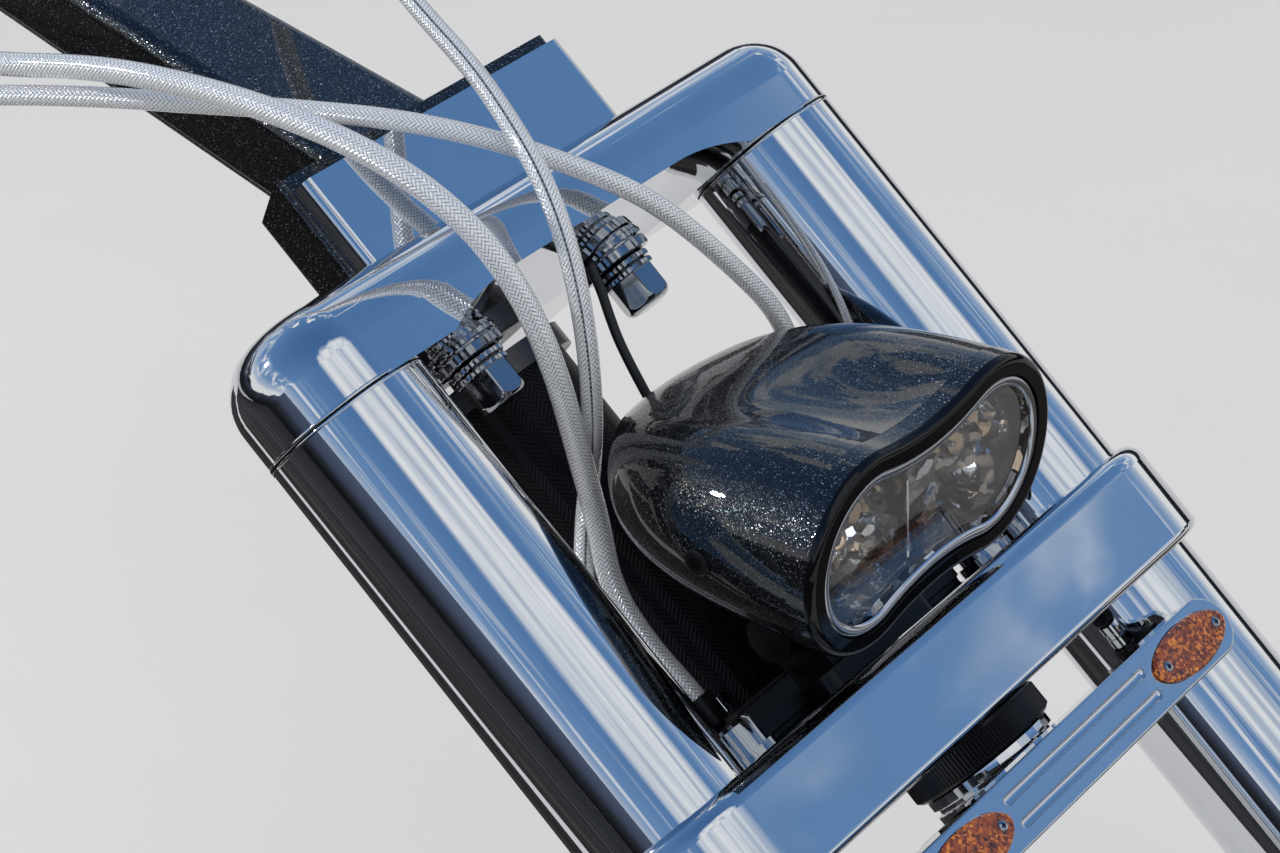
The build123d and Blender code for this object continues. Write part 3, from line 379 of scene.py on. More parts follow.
BY_SLOT = {"chrome": CHROME, "dark_chrome": DARK_CHROME, "steel": STEEL, "black_flake": FLAKE, "black_gloss": GLOSS,
           "black_paint": SATIN, "rubber": RUBBER, "clear_lens": CLEAR, "bulb_glass": BULB, "reflector": BOWL,
           "amber": AMBER}
SPECIAL = {"steering_head": WEAVE, "lamp_wire": WIRE, "upper_bearing_cup": OXIDE, "lower_bearing_cup": OXIDE,
           "steering_stem": OXIDE}


def dress(node, finish):
    mesh = nodes[node].data
    mesh.materials.clear()
    mesh.materials.append(finish)
    for face in mesh.polygons:
        face.material_index = 0


for part in frame["record"]["subparts"]:
    finish = SPECIAL.get(part["node"], BY_SLOT.get(part["material_slot"]))
    if finish is not None:
        dress(part["node"], finish)

# Shapes made here

def mesh_piece(name, made, finish, body, smooth=True, hard=None):
    """Turns a bmesh into a named piece that rides on a CAD body. Edges sharper than hard, in degrees, stay crisp."""
    mesh = bpy.data.meshes.new(name)
    made.to_mesh(mesh)
    made.free()
    for face in mesh.polygons:
        face.use_smooth = smooth
    if hard is not None:
        mesh.set_sharp_from_angle(angle=math.radians(hard))
    mesh.materials.append(finish)
    piece = bpy.data.objects.new(name, mesh)
    bpy.context.scene.collection.objects.link(piece)
    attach(piece, body)
    return piece


def place_at(origin, along):
    """Matrix with its Z axis along a direction, at a place in metres."""
    turn = Vector(along).normalized().to_track_quat("Z", "Y").to_matrix().to_4x4()
    return Matrix.Translation(origin) @ turn


def ring_at(made, place, height, reaches):
    """Adds a ring of vertices, one at each of these distances from the place's axis, in millimetres."""
    ring = []
    for k, reach in enumerate(reaches):
        angle = math.tau * k / len(reaches)
        spot = Vector((reach * math.cos(angle), reach * math.sin(angle), height)) * MM
        ring.append(made.verts.new(place @ spot))
    return ring


def skin(made, rings):
    """Joins each ring of vertices to the next with quads, and closes the first and the last."""
    count = len(rings[0])
    for low, high in zip(rings, rings[1:]):
        for k in range(count):
            n = (k + 1) % count
            made.faces.new((low[k], low[n], high[n], high[k]))
    made.faces.new(list(reversed(rings[0])))
    made.faces.new(rings[-1])


def turned(made, place, profile, sides=32):
    """Adds a body of revolution. The profile is (radius, height) in millimetres, from one end to the other."""
    skin(made, [ring_at(made, place, height, [radius] * sides) for radius, height in profile])


def toothed(made, place, profile, teeth, depth):
    """Adds a knurled disc. The profile is (radius, height, whether it is cut), in millimetres."""
    skin(made, [ring_at(made, place, height, [radius - (depth if cut and k % 2 else 0.0) for k in range(2 * teeth)])
                for radius, height, cut in profile])


def slab(made, place, size):
    """Adds a box with these sides, in millimetres, centred on a place."""
    bmesh.ops.create_cube(made, size=MM, matrix=place @ Matrix.Diagonal((*size, 1.0)))


# Braided lines

FOOT_Y, FOOT_LOW, FOOT_HIGH = 44.0, -168.0, -154.0
BEAM_END = (166.0, 315.0)
BAR_HALF_W, BAR_FLAT_HALF, BAR_PULLBACK, BAR_DROP = 390.0, 110.0, 150.0, 10.0
GRIP_L, HOUSING_GAP, HOUSING_W = 125.0, 2.0, 24.0
PERCH_W, CYLINDER_L, CYLINDER_FORWARD = 24.0, 78.0, 36.0
PORT_L, PORT_DROP = 30.0, 31.0
FROM_END_HOUSING = GRIP_L + HOUSING_GAP + HOUSING_W / 2
FROM_END_PERCH = GRIP_L + 2 * HOUSING_GAP + HOUSING_W + PERCH_W / 2
ARM_OUT = Vector((BAR_HALF_W - BAR_FLAT_HALF, BAR_PULLBACK, -BAR_DROP)).normalized()
ARM_UP = (Vector((0, 0, 1)) - ARM_OUT * ARM_OUT.z).normalized()
ARM_FORWARD = ARM_OUT.cross(ARM_UP)
BAR_CENTRE = FORK @ Vector((0, *BEAM_END))


def arm_spot(side, from_end, forward, along, up):
    """World place, in metres, beside the bar's arm; along is outward."""
    end = BAR_CENTRE + Vector((BAR_HALF_W, BAR_PULLBACK, -BAR_DROP))
    spot = end + ARM_OUT * (along - from_end) + ARM_FORWARD * forward + ARM_UP * up
    return Vector((side * spot.x, spot.y, spot.z)) * MM


def cylinder_end(side, out):
    """The inner end of a hand control's cylinder, or a place further inward by out."""
    return arm_spot(side, FROM_END_PERCH, CYLINDER_FORWARD, -0.75 * CYLINDER_L - out, 0)


def housing_end(side, out):
    """The inner end of a switch housing's port, or a place further inward by out."""
    return arm_spot(side, FROM_END_HOUSING, 0, -PORT_L / 2 - out, -PORT_DROP)


ROUTES = {
    # name: (diameter, fitting's place across, points up to the control in the fork's millimetres, last two in metres)
    "brake_line": (
        9.5, -45.0,
        [(-45.5, 46, -129), (-43.5, 44.5, -103), (-37.8, 32, -80), (-43, 13, -61.5), (-58.5, -28.5, -29.5),
         (-64, -46, -2), (-70, -54, 25), (-76, -50, 57), (-81, -30, 95), (-84, 0, 132),
         (-87, 35, 167), (-94, 75, 199), (-108, 108, 234), (-134, 140, 266)],
        [cylinder_end(-1, 42), cylinder_end(-1, 0)],
    ),
    "throttle_line": (
        8.0, 54.0,
        [(55, 43, -131), (62, 29, -108), (66.5, 8, -86), (62, -13, -61), (39.9, -30, -30.5),
         (20.9, -41, -3.5), (4.7, -43, 17.9), (-14.8, -33, 51), (-33.5, -18, 80), (-50.3, 4, 107.8),
         (-67.2, 26, 133.7), (-84.6, 50, 161.7), (-101.9, 76, 188.7), (-122, 106, 217),
         (-147, 140, 246), (-177, 178, 276), (-197, 206, 308)],
        [housing_end(-1, 45), housing_end(-1, 0)],
    ),
    "clutch_line": (
        8.2, -60.0,
        [(-59.5, 47, -130), (-52, 52, -101), (-33.6, 45, -77.5), (-30.5, 25, -63.5), (-40.2, -10, -47.4),
         (-40.8, -35, -25), (-35.6, -49, 0.7), (-28.6, -53.5, 26), (-17.9, -47, 51.1),
         (-3.9, -34.5, 79), (9.7, -17, 112.6), (26, 1, 151), (46.8, 27.6, 190.2),
         (76.8, 63.6, 222.1), (108.8, 100.6, 252.1), (138, 132, 282)],
        [cylinder_end(1, 42), cylinder_end(1, 0)],
    ),
}
LAMP_WIRE_D = 4.0
LAMP_WIRE = [(26.3, 16.4, 1), (25, 18.2, -8), (22.3, 21.5, -19), (20.6, 25, -30), (19.5, 28.5, -45), (18.7, 32, -62),
             (18.7, 33, -85), (21, 31, -115), (25, 29, -145), (27, 29, -177)]
THREADS = {"clutch_line": 0.84}
STRANDS_PER_MM = 0.85
# The fittings' profiles are (how far past the line's radius, height), in millimetres.
CRIMP_L, CRIMP = 24, [(0.3, 0), (1.3, 0.8), (1.3, 6), (0.8, 6.6), (0.8, 7.4), (1.3, 8), (1.3, 13), (0.8, 13.6),
                      (0.8, 14.4), (1.3, 15), (1.3, 19), (0.4, 20), (0.4, 24)]
NUT_L, NUT = 5, [(1.4, 0), (2.4, 0.8), (2.4, 5.4)]


def spline_points(name, spots):
    """Points along the smooth line that has these spots as its control points."""
    curve = bpy.data.curves.new(name + "_route", "CURVE")
    curve.dimensions = "3D"
    curve.resolution_u = 12
    spline = curve.splines.new("NURBS")
    spline.points.add(len(spots) - 1)
    for point, spot in zip(spline.points, spots):
        point.co = (*spot, 1.0)
    spline.order_u = 3
    spline.use_endpoint_u = True
    route = bpy.data.objects.new(name + "_route", curve)
    bpy.context.scene.collection.objects.link(route)
    bpy.context.view_layer.update()
    mesh = bpy.data.meshes.new_from_object(route)
    found = [vertex.co.copy() for vertex in mesh.vertices]
    bpy.data.objects.remove(route)
    bpy.data.meshes.remove(mesh)
    bpy.data.curves.remove(curve)
    return found


def tube(name, points, radius, finish, sides=28):
    """Mesh tube along points, with u round it and v in circumferences along it."""
    made = bmesh.new()
    wrap = made.loops.layers.uv.new("along")
    rings, lengths = [], [0.0]
    for a, b in zip(points, points[1:]):
        lengths.append(lengths[-1] + (b - a).length)
    side = None
    for k, spot in enumerate(points):
        ahead = (points[min(k + 1, len(points) - 1)] - points[max(k - 1, 0)]).normalized()
        side = ahead.orthogonal() if side is None else side - ahead * side.dot(ahead)
        side.normalize()
        other = ahead.cross(side)
        turns = [math.tau * j / sides for j in range(sides)]
        rings.append([made.verts.new(spot + (side * math.cos(turn) + other * math.sin(turn)) * radius)
                      for turn in turns])
    girth = math.tau * radius
    for k, (low, high) in enumerate(zip(rings, rings[1:])):
        for j in range(sides):
            face = made.faces.new((low[j], low[(j + 1) % sides], high[(j + 1) % sides], high[j]))
            spread = ((j, k), (j + 1, k), (j + 1, k + 1), (j, k + 1))
            for loop, (u, v) in zip(face.loops, spread):
                loop[wrap].uv = (u / sides, lengths[v] / girth)
    made.faces.new(list(reversed(rings[0])))
    made.faces.new(rings[-1])
    return mesh_piece(name, made, finish, "fork")


for name, (diameter, across, points, last) in ROUTES.items():
    spots = [in_fork(across, FOOT_Y, FOOT_LOW), in_fork(across, FOOT_Y, FOOT_HIGH)]
    spots += [in_fork(*point) for point in points] + last
    run = spline_points(name, spots)
    braid = braided(name + "_sleeve", 2 * round(STRANDS_PER_MM * diameter), THREADS.get(name))
    sleeve = tube(name + "_braid", run, diameter / 2 * MM, braid)
    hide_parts(name)
    made = bmesh.new()
    radius = diameter / 2
    ahead = (last[1] - last[0]).normalized()
    for length, profile, sides in ((CRIMP_L, CRIMP, 32), (NUT_L, NUT, 6)):
        place = place_at(last[1] - ahead * length * MM, ahead)
        turned(made, place, [(radius + past, height) for past, height in profile], sides)
    crimp = mesh_piece(name + "_crimp", made, CHROME, "fork", False)

wire_run = spline_points("lamp_wire", [in_fork(*point) for point in LAMP_WIRE])
wire = tube("lamp_wire_sleeve", wire_run, LAMP_WIRE_D / 2 * MM, WIRE, 16)
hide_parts("lamp_wire")

# The knurled knob and the collar below the bottom clamp

KNOB_Y, KNOB_R, KNOB_LOW, KNOB_HIGH = -13.0, 31.0, -239.0, -227.0
KNOB_TEETH, KNOB_TOOTH = 120, 0.8
COLLAR_R, COLLAR_LOW, COLLAR_FACETS, POST_R = 28.0, -251.0, 34, 8.0

made = bmesh.new()
toothed(made, place_at(in_fork(0, KNOB_Y, 0), FORK_UP),
        [(KNOB_R - 1.6, KNOB_LOW, False), (KNOB_R - 0.8, KNOB_LOW + 0.7, False), (KNOB_R, KNOB_LOW + 1.4, True),
         (KNOB_R, KNOB_HIGH - 1.4, True), (KNOB_R - 0.8, KNOB_HIGH - 0.7, False), (KNOB_R - 1.6, KNOB_HIGH, False)],
        KNOB_TEETH, KNOB_TOOTH)
knob = mesh_piece("knurled_knob", made, SATIN, "fork", False)
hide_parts("knurled_nut")

made = bmesh.new()
turned(made, place_at(in_fork(0, KNOB_Y, 0), FORK_UP),
       [(COLLAR_R - 1.5, COLLAR_LOW), (COLLAR_R, COLLAR_LOW + 1), (COLLAR_R, COLLAR_LOW + 4.6),
        (COLLAR_R - 1.8, COLLAR_LOW + 5.2), (COLLAR_R - 1.8, COLLAR_LOW + 6.8), (COLLAR_R, COLLAR_LOW + 7.4),
        (COLLAR_R, COLLAR_LOW + 11), (COLLAR_R - 1.5, COLLAR_LOW + 12),
        (POST_R, COLLAR_LOW + 12), (POST_R, COLLAR_LOW + 23.8)], COLLAR_FACETS)
collar = mesh_piece("faceted_collar", made, CHROME, "fork", False)
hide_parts("lock_collar")

# Screws and sockets

LIGHT_BAR_Z, AMBER_FRONT, AMBER_X, AMBER_SCREW = -256.0, -60.5, 74.5, 17.5
SCREW_PROUD, SCREW_HEAD = 0.4, [(2.1, 0), (2.1, 0.7), (1.8, 0.95), (1.0, 1.1)]
CROSS_L, CROSS_W, CROSS_H, CROSS_UP = 2.3, 0.55, 0.2, 1.05
CAP_BOLT_X, CAP_BOLT_TOP, CAP_SOCKET_R = 78.0, -170.0, 5.2
SIDE_SCREW_X, SIDE_SCREW_Y, SIDE_SCREW_Z = 76.0, 48.0, -1.0
SIDE_CAP, SIDE_SOCKET = [(5.3, 0), (5.3, 0.6), (4.6, 1.0), (3.6, 1.0)], [(3.0, 0), (3.0, 1.1)]

heads, slot_shades = bmesh.new(), bmesh.new()
for side in (-1, 1):
    for step in (-1, 1):
        spot = in_fork(side * AMBER_X + step * AMBER_SCREW, AMBER_FRONT + SCREW_PROUD, LIGHT_BAR_Z)
        place = place_at(spot, FORK_FORWARD)
        turned(heads, place, SCREW_HEAD, 24)
        lift = Matrix.Translation((0, 0, CROSS_UP * MM))
        slab(slot_shades, place @ lift, (CROSS_L, CROSS_W, CROSS_H))
        slab(slot_shades, place @ lift, (CROSS_W, CROSS_L, CROSS_H))
mesh_piece("amber_screws", heads, DARK_CHROME, "fork", False)
# The cross slots are thin dark slabs on the screw heads: painted shade in the slots.
mesh_piece("amber_screw_slot_shade", slot_shades, RECESS_SHADE, "fork", False)

socket_shades = bmesh.new()
for side in (-1, 1):
    place = place_at(in_fork(side * CAP_BOLT_X, 0, CAP_BOLT_TOP - 0.5), FORK_UP)
    turned(socket_shades, place, [(CAP_SOCKET_R, 0), (CAP_SOCKET_R, 0.6)], 6)
# Each socket is a flat dark hexagon on the bolt's top: painted shade in the hole.
mesh_piece("cap_bolt_socket_shade", socket_shades, RECESS_SHADE, "fork", False)

socket_shades, rings = bmesh.new(), bmesh.new()
for side in (-1, 1):
    place = place_at(in_lamp(side * (SIDE_SCREW_X - 0.4), SIDE_SCREW_Y, SIDE_SCREW_Z), (side, 0, 0))
    turned(rings, place, SIDE_CAP, 36)
    turned(socket_shades, place, SIDE_SOCKET, 6)
mesh_piece("lamp_screw_caps", rings, SATIN, "headlamp", False)
# Each socket is a flat dark hexagon in the cap: painted shade in the hole.
mesh_piece("lamp_screw_socket_shade", socket_shades, RECESS_SHADE, "headlamp", False)

# Stacked discs under the riser bolts, as (radius, low, high) downward from the top clamp

DAMPER_X, DAMPER_Y, DISC_TEETH, DISC_TOOTH = 44.45, 23.0, 34, 0.5
DISCS = ((15.0, -5.6, -0.9), (15.0, 0.1, 4.2), (12.2, 5.4, 7.7), (11.8, 8.7, 10.9))

for side, hand in SIDES:
    made = bmesh.new()
    steps = []
    for radius, low, high in DISCS:
        steps += [(radius - 1.6, low - 0.3, False), (radius - 0.3, low, False), (radius, low + 0.35, True),
                  (radius, high - 0.35, True), (radius - 0.3, high, False), (radius - 1.6, high + 0.2, False)]
    toothed(made, place_at(in_fork(side * DAMPER_X, DAMPER_Y, 0), -FORK_UP), steps, DISC_TEETH, DISC_TOOTH)
    stack = mesh_piece("damper_rings_" + hand, made, DARK_CHROME, "fork", False)
    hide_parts("riser_damper_" + hand)

# The seam where each outer tube meets the top clamp

TUBE_X, TUBE_R = 125.0, 33.25
# The lip's profile is (how far past the tube's radius, distance from the seam).
LIP = [(-0.3, 0.25), (0.10, 0.45), (0.22, 0.8), (0.14, 1.3), (-0.3, 1.9)]

beads, seam_shades = bmesh.new(), bmesh.new()
for side in (-1, 1):
    place = place_at(in_fork(side * TUBE_X, 0, 0), FORK_UP)
    for way in (-1, 1):
        turned(beads, place, [(TUBE_R + past, way * off) for past, off in LIP[::way]], 96)
    # A dark band just proud of each tube: painted shade in the seam's gap.
    turned(seam_shades, place, [(TUBE_R + 0.04, -0.5), (TUBE_R + 0.04, 0.5)], 96)
mesh_piece("tube_seam_lips", beads, CHROME, "fork", True)
mesh_piece("tube_seam_shade", seam_shades, RECESS_SHADE, "fork", True)

# The two troughs along the indicator bar, with round ends

BAR_FRONT, GROOVE_HALF, GROOVE_R, GROOVE_DEEP, GROOVE_UP = -58.5, 48.0, 2.0, 1.3, 5.0
END_STEPS, RUN_STEPS, ARC_STEPS = 8, 24, 16

made = bmesh.new()
reach = GROOVE_HALF - GROOVE_R
stations = [-reach - GROOVE_R * math.cos(math.pi / 2 * k / END_STEPS) for k in range(END_STEPS)]
stations += [-reach + 2 * reach * k / RUN_STEPS for k in range(RUN_STEPS + 1)]
stations += [reach + GROOVE_R * math.sin(math.pi / 2 * k / END_STEPS) for k in range(1, END_STEPS + 1)]
turns = [math.pi / 2 * (j - ARC_STEPS // 2) / (ARC_STEPS // 2) for j in range(ARC_STEPS + 1)]
for side in (-1, 1):
    rows = []
    for x in stations:
        over = max(abs(x) - reach, 0.0) / GROOVE_R
        share = math.sqrt(max(1.0 - over * over, 0.0))
        rows.append([made.verts.new(in_fork(x, BAR_FRONT + GROOVE_DEEP * share * math.cos(turn),
                                            LIGHT_BAR_Z + side * GROOVE_UP + GROOVE_R * share * math.sin(turn)))
                     for turn in turns])
    for one, two in zip(rows, rows[1:]):
        for j in range(ARC_STEPS):
            made.faces.new((one[j], one[j + 1], two[j + 1], two[j]))
bmesh.ops.remove_doubles(made, verts=made.verts, dist=0.00001)
bmesh.ops.recalc_face_normals(made, faces=made.faces)
mesh_piece("light_bar_troughs", made, CHROME, "fork", True)

# The lamp's bright bevel, rib edge and filaments, and its bracket

LOBE_X, BULB_FRONT = 38.0, 14.5
LENS_LOBE_R, LENS_WAIST, LENS_FACE = 31.5, 26.2, -1.25
# The bevel's section is (inset from the lens's edge, depth behind its face).
BEVEL_RING = ((0.15, 0.4), (0.15, -0.5), (0.7, -1.0), (2.0, -1.3), (3.4, -1.0), (4.3, -0.3), (4.6, 0.4))
RIB_X, RIB_DEPTH, RIB_SIZE = -11.5, 4.8, (0.9, 0.5, 30.0)
WING_X, WING_Y, WING_Z, WING_SIZE = 50.0, 10.0, -176.0, (32.0, 12.0, 16.0)
RIM_FRONT = 1.2
COIL_TURNS, COIL_PITCH = 11, 0.55
SHIELD = [(0.5, 0), (0.5, 4), (3.4, 4.2), (3.4, 7)]


def peanut_spots(inset, depth, count=36):
    """Points round the lens's outline, moved inward by inset, at a depth behind the lens's middle."""
    lobe, waist = LENS_LOBE_R - inset, LENS_WAIST - inset
    blend = (LOBE_X ** 2 + waist ** 2 - lobe ** 2) / (2 * (lobe - waist))
    rise = waist + blend
    turn = math.pi - math.atan2(rise, LOBE_X)
    arcs = ((LOBE_X, 0, lobe, -turn, turn), (0, rise, blend, turn - math.pi, -turn),
            (-LOBE_X, 0, lobe, math.pi - turn, math.pi + turn), (0, -rise, blend, turn, math.pi - turn))
    spots = []
    for x, z, radius, start, end in arcs:
        for k in range(count):
            angle = start + (end - start) * k / count
            spots.append(in_lamp(x + radius * math.cos(angle), depth, z + radius * math.sin(angle)))
    return spots


made = bmesh.new()
rings = [[made.verts.new(spot) for spot in peanut_spots(inset, LENS_FACE + depth)] for inset, depth in BEVEL_RING]
for low, high in zip(rings, rings[1:] + rings[:1]):
    for k in range(len(low)):
        n = (k + 1) % len(low)
        made.faces.new((low[k], low[n], high[n], high[k]))
bmesh.ops.recalc_face_normals(made, faces=made.faces)
mesh_piece("lens_bevel_ring", made, BEVEL, "headlamp", True, 50)

made = bmesh.new()
slab(made, Matrix.Translation(in_lamp(RIB_X, RIB_DEPTH, 0)), RIB_SIZE)
bmesh.ops.bevel(made, geom=made.edges[:], offset=0.2 * MM, segments=2, affect="EDGES")
mesh_piece("reflector_rib_edge", made, CHROME, "headlamp", False)

made = bmesh.new()
for side in (-1, 1):
    slab(made, Matrix.Translation(in_fork(side * WING_X, WING_Y, WING_Z)) @ FORK_TURN.to_4x4(), WING_SIZE)
bmesh.ops.bevel(made, geom=made.edges[:], offset=1.6 * MM, segments=3, affect="EDGES")
mesh_piece("bracket_wings", made, SATIN, "fork", True, 40)

# The rim's outer band has the pod's paint.
rim = nodes["headlamp_rim"].data
rim.materials.append(FLAKE)
for face in rim.polygons:
    x, y, z = face.center / MM - LAMP_AT
    outward = Vector((x - max(-LOBE_X, min(LOBE_X, x)), 0, z))
    if y > RIM_FRONT and face.normal.dot(outward) > 0 and abs(face.normal.y) < 0.5:
        face.material_index = 1

coils = bmesh.new()
for side in (-1, 1):
    place = place_at(in_lamp(side * LOBE_X, BULB_FRONT + 3.5, 0), (0, 1, 0))
    turned(coils, place, [(0.7 if k % 2 else 1.2, k * COIL_PITCH) for k in range(COIL_TURNS)], 12)
    turned(coils, place_at(in_lamp(side * LOBE_X, BULB_FRONT + 9.5, 0), (0, 1, 0)), SHIELD, 16)
mesh_piece("lamp_filaments", coils, STEEL, "headlamp", True)

# Stage, light and camera

PALE, AMBIENT = (0.93, 0.93, 0.92), (0.60, 0.61, 0.63)
CLOUD_WAY, BACK_CLOUD_WAY = (0.03, -0.66, 0.75), (0.60, 0.58, 0.55)
STAGE_MIDDLE = (0.0, -0.2, 0.0)
FLOOR_R, FLOOR_GAP, CARD_LIFT = 7.0, 0.004, 0.003
WALL_SIDES, WALL_R, WALL_TOP, WALL_WAVE = 72, 4.6, 0.40, 0.22
# The hills on the wall are (height, bearing, width), in metres and radians.
WALL_HILLS = ((0.85, math.radians(186), 0.42), (1.0, math.radians(82), 0.75))
LENS_MM, SENSOR_MM = 90.66, 36.0
CAMERA_AT = (-0.8120, -0.8053, 0.7179)
CAMERA_RIGHT, CAMERA_UP = (0.6145, -0.7867, -0.0578), (0.4382, 0.2795, 0.8544)


def world_light():
    """Even light for the object and a pale backdrop, and a soft sky with clouds for mirrors and glass."""
    world = bpy.data.worlds.new("studio")
    bpy.context.scene.world = world
    world.use_nodes = True
    tree = world.node_tree
    tree.nodes.clear()

    def add(kind, inputs=None, **settings):
        return add_node(tree, kind, inputs, **settings)

    def noise(scale, detail, rough=0.5, bend=0.0):
        inputs = {"Vector": way, "Scale": scale, "Detail": detail, "Roughness": rough, "Distortion": bend}
        return add("ShaderNodeTexNoise", inputs).outputs[0]

    def toward(direction):
        return add("ShaderNodeVectorMath", {0: way, 1: direction}, operation="DOT_PRODUCT").outputs["Value"]

    way = add("ShaderNodeTexCoord").outputs["Generated"]
    height = add("ShaderNodeSeparateXYZ", {0: way}).outputs[2]
    sky = add_ramp(tree, add_spread(tree, height, -1.0, 1.0), [
        (0.60, PALE), (0.63, (0.50, 0.60, 0.75)), (0.70, (0.19, 0.34, 0.60)), (0.80, (0.127, 0.27, 0.53)),
        (1.0, (0.07, 0.17, 0.39))])
    wobble = add_math(tree, "MULTIPLY_ADD", noise(2.6, 6.0, 0.55, 0.4), 0.16, -0.08)
    bank = add_spread(tree, add_math(tree, "ADD", toward(CLOUD_WAY), wobble), 0.872, 0.918)
    small = noise(7.5, 8.0, 0.6, 0.3)
    low = add_spread(tree, height, 0.48, 0.60, 1.0, 0.0)
    wisps = add_math(tree, "MULTIPLY", add_spread(tree, small, 0.49, 0.60, 0.0, 0.9), low)
    behind = add_math(tree, "MULTIPLY_ADD", small, 0.9, toward(BACK_CLOUD_WAY))
    behind = add_spread(tree, behind, 1.455, 1.495)
    cloud = add_math(tree, "MAXIMUM", add_math(tree, "MAXIMUM", bank, wisps), behind)
    white = add_ramp(tree, noise(7.0, 3.0), [
        (0.36, (0.52, 0.60, 0.72)), (0.50, (0.86, 0.90, 0.95)), (0.62, (1.0, 1.0, 1.0))])
    above = add_spread(tree, height, 0.22, 0.34)
    shown = add_mix(tree, add_math(tree, "MULTIPLY", cloud, above), sky, white)
    path = add("ShaderNodeLightPath").outputs
    mirror = add_math(tree, "MAXIMUM", path["Is Glossy Ray"], path["Is Transmission Ray"])
    colour = add_mix(tree, path["Is Camera Ray"], add_mix(tree, mirror, AMBIENT, shown), PALE)
    light = add("ShaderNodeBackground", {"Color": colour, "Strength": 1.0})
    tree.links.new(light.outputs[0], add("ShaderNodeOutputWorld").inputs[0])


def panel(name, place, width, power, mirrored):
    """Round lamp that faces the object. Mirrors show it only where mirrored is set."""
    light = bpy.data.lights.new(name, "AREA")
    light.shape = "DISK"
    light.size, light.energy = width, power
    lamp = bpy.data.objects.new(name, light)
    bpy.context.scene.collection.objects.link(lamp)
    lamp.location = place
    lamp.rotation_euler = (Vector(STAGE_MIDDLE) - Vector(place)).to_track_quat("-Z", "Y").to_euler()
    lamp.visible_glossy = mirrored


def flag(name, faces, look):
    """Dark card that only mirrors see, as photographers set round chrome. Each face is four corners, in metres."""
    mesh = bpy.data.meshes.new(name)
    corners = [corner for face in faces for corner in face]
    mesh.from_pydata(corners, [], [tuple(range(4 * k, 4 * k + 4)) for k in range(len(faces))])
    mesh.materials.append(look.material)
    card = bpy.data.objects.new(name, mesh)
    bpy.context.scene.collection.objects.link(card)
    card.visible_camera = card.visible_diffuse = card.visible_transmission = card.visible_shadow = False
    card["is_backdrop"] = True


def flat_card(left, right, front, back, height):
    """The corners of a level card."""
    return [(left, front, height), (right, front, height), (right, back, height), (left, back, height)]


def wall_top(turn):
    hills = sum(height * math.exp(-((turn - bearing) / width) ** 2) for height, bearing, width in WALL_HILLS)
    return WALL_TOP + WALL_WAVE * math.sin(5 * turn) * math.sin(3 * turn + 1.0) + hills


world_light()
panel("key_panel", (-1.50, 1.88, 1.55), 0.17, 30, True)
panel("fill_panel", (-1.3, -2.3, 1.7), 1.5, 12, False)
panel("side_panel", (2.3, -0.6, 1.6), 1.5, 8, False)

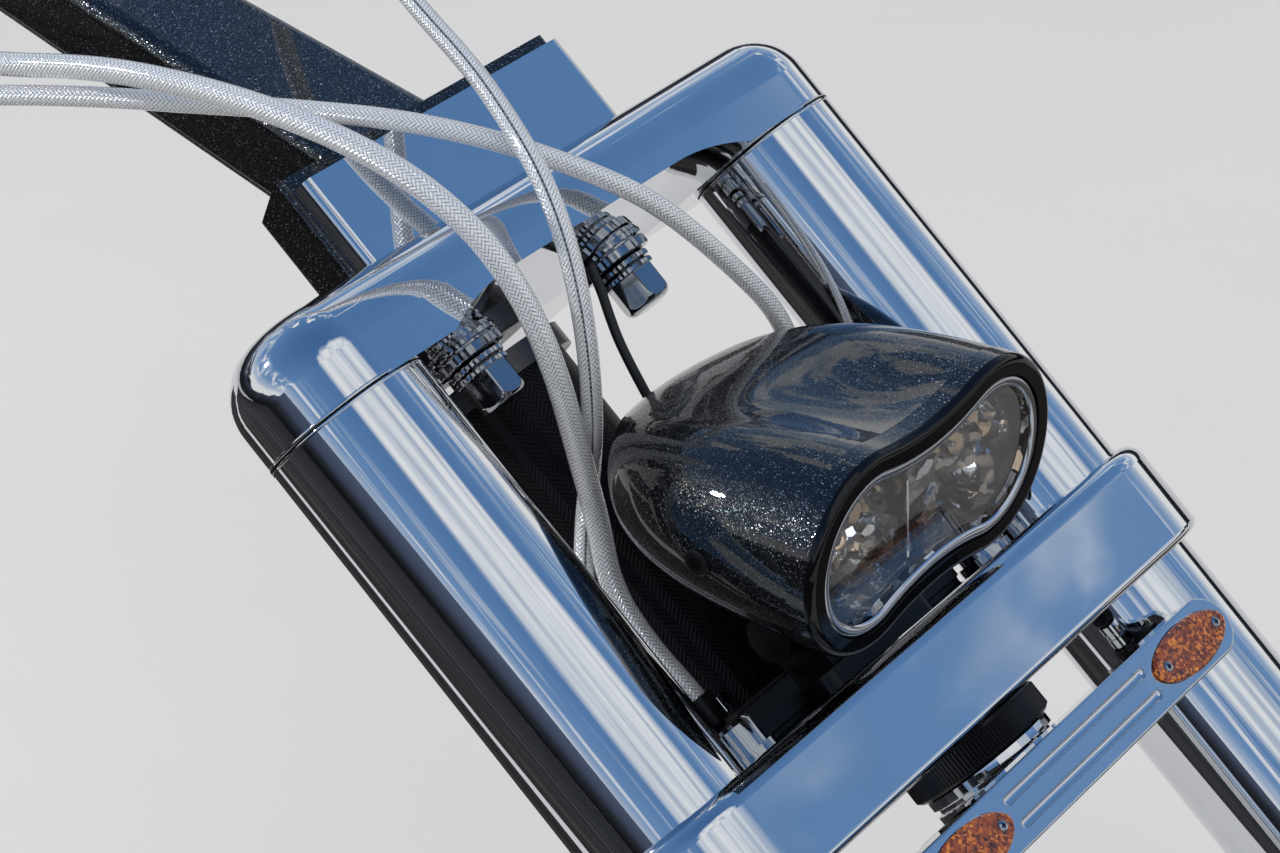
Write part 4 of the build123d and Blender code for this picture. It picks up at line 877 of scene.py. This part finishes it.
floor_height = cad_low[2] - FLOOR_GAP
bpy.ops.mesh.primitive_circle_add(vertices=96, radius=FLOOR_R, fill_type="NGON", location=(0, 0, floor_height))
floor = bpy.context.object
floor.name = "floor"
ground = Look("pale_floor", (0.80, 0.79, 0.77), 0.85)
ground.set("Base Color", ground.ramp(ground.noise(3.0, 3), (0.3, (0.80, 0.79, 0.775)), (0.7, (0.82, 0.81, 0.80))))
floor.data.materials.append(ground.material)
floor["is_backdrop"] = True

dark_card = Look("dark_card", (0.02, 0.02, 0.022), 0.9)
spot = dark_card.place.outputs["Object"]
streaks = dark_card.add("ShaderNodeMapping", {"Vector": spot, "Scale": (7.0, 0.12, 1.0)}).outputs[0]
dark_card.set("Base Color", dark_card.ramp(
    dark_card.noise(1.0, 5, 0.65, streaks), (0.36, (0.003, 0.003, 0.004)), (0.47, (0.030, 0.026, 0.023)),
    (0.53, (0.006, 0.006, 0.007)), (0.60, (0.075, 0.066, 0.060)), (0.66, (0.012, 0.012, 0.013))))
far_card = Look("far_card", (0.02, 0.02, 0.022), 0.9)
rise = far_card.add("ShaderNodeSeparateXYZ", {0: far_card.place.outputs["Object"]}).outputs[2]
patchy = far_card.math("MULTIPLY_ADD", far_card.noise(1.6, 4), 0.5, rise)
far_card.set("Base Color", far_card.ramp(
    far_card.spread(patchy, -0.1, 1.6, 0.0, 1.0), (0.12, (0.006, 0.006, 0.008)), (0.35, (0.03, 0.036, 0.055)),
    (0.60, (0.085, 0.11, 0.18)), (1.0, (0.13, 0.17, 0.27))))
brown_card = Look("brown_card", (0.10, 0.085, 0.07), 0.9)
brown_card.set("Base Color", brown_card.ramp(
    brown_card.noise(5.0, 5), (0.35, (0.045, 0.040, 0.036)), (0.65, (0.22, 0.19, 0.16))))

card_height = floor_height + CARD_LIFT
flag("ground_flag", [flat_card(-4.55, -0.40, -1.6, 3.0, card_height), flat_card(-0.31, 0.14, -0.05, 1.6, card_height)],
     dark_card)
flag("lens_flag", [flat_card(0.22, 1.10, -1.35, -0.42, card_height)], brown_card)
wall = []
for k in range(WALL_SIDES):
    one, two = (math.tau * step / WALL_SIDES for step in (k, k + 1))
    corners = ((one, card_height), (two, card_height), (two, wall_top(two)), (one, wall_top(one)))
    wall.append([(WALL_R * math.cos(turn), WALL_R * math.sin(turn), z) for turn, z in corners])
flag("horizon_flag", wall, far_card)

camera_data = bpy.data.cameras.new("camera")
camera = bpy.data.objects.new("camera", camera_data)
bpy.context.scene.collection.objects.link(camera)
camera_data.sensor_fit = "HORIZONTAL"
camera_data.sensor_width = SENSOR_MM
camera_data.lens = LENS_MM
right, up = Vector(CAMERA_RIGHT).normalized(), Vector(CAMERA_UP).normalized()
back = right.cross(up).normalized()
up = back.cross(right)
camera.matrix_world = Matrix.Translation(CAMERA_AT) @ Matrix((right, up, back)).transposed().to_4x4()
bpy.context.scene.camera = camera
bpy.context.scene.view_settings.view_transform = "Standard"

low, high = (list(corner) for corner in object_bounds())
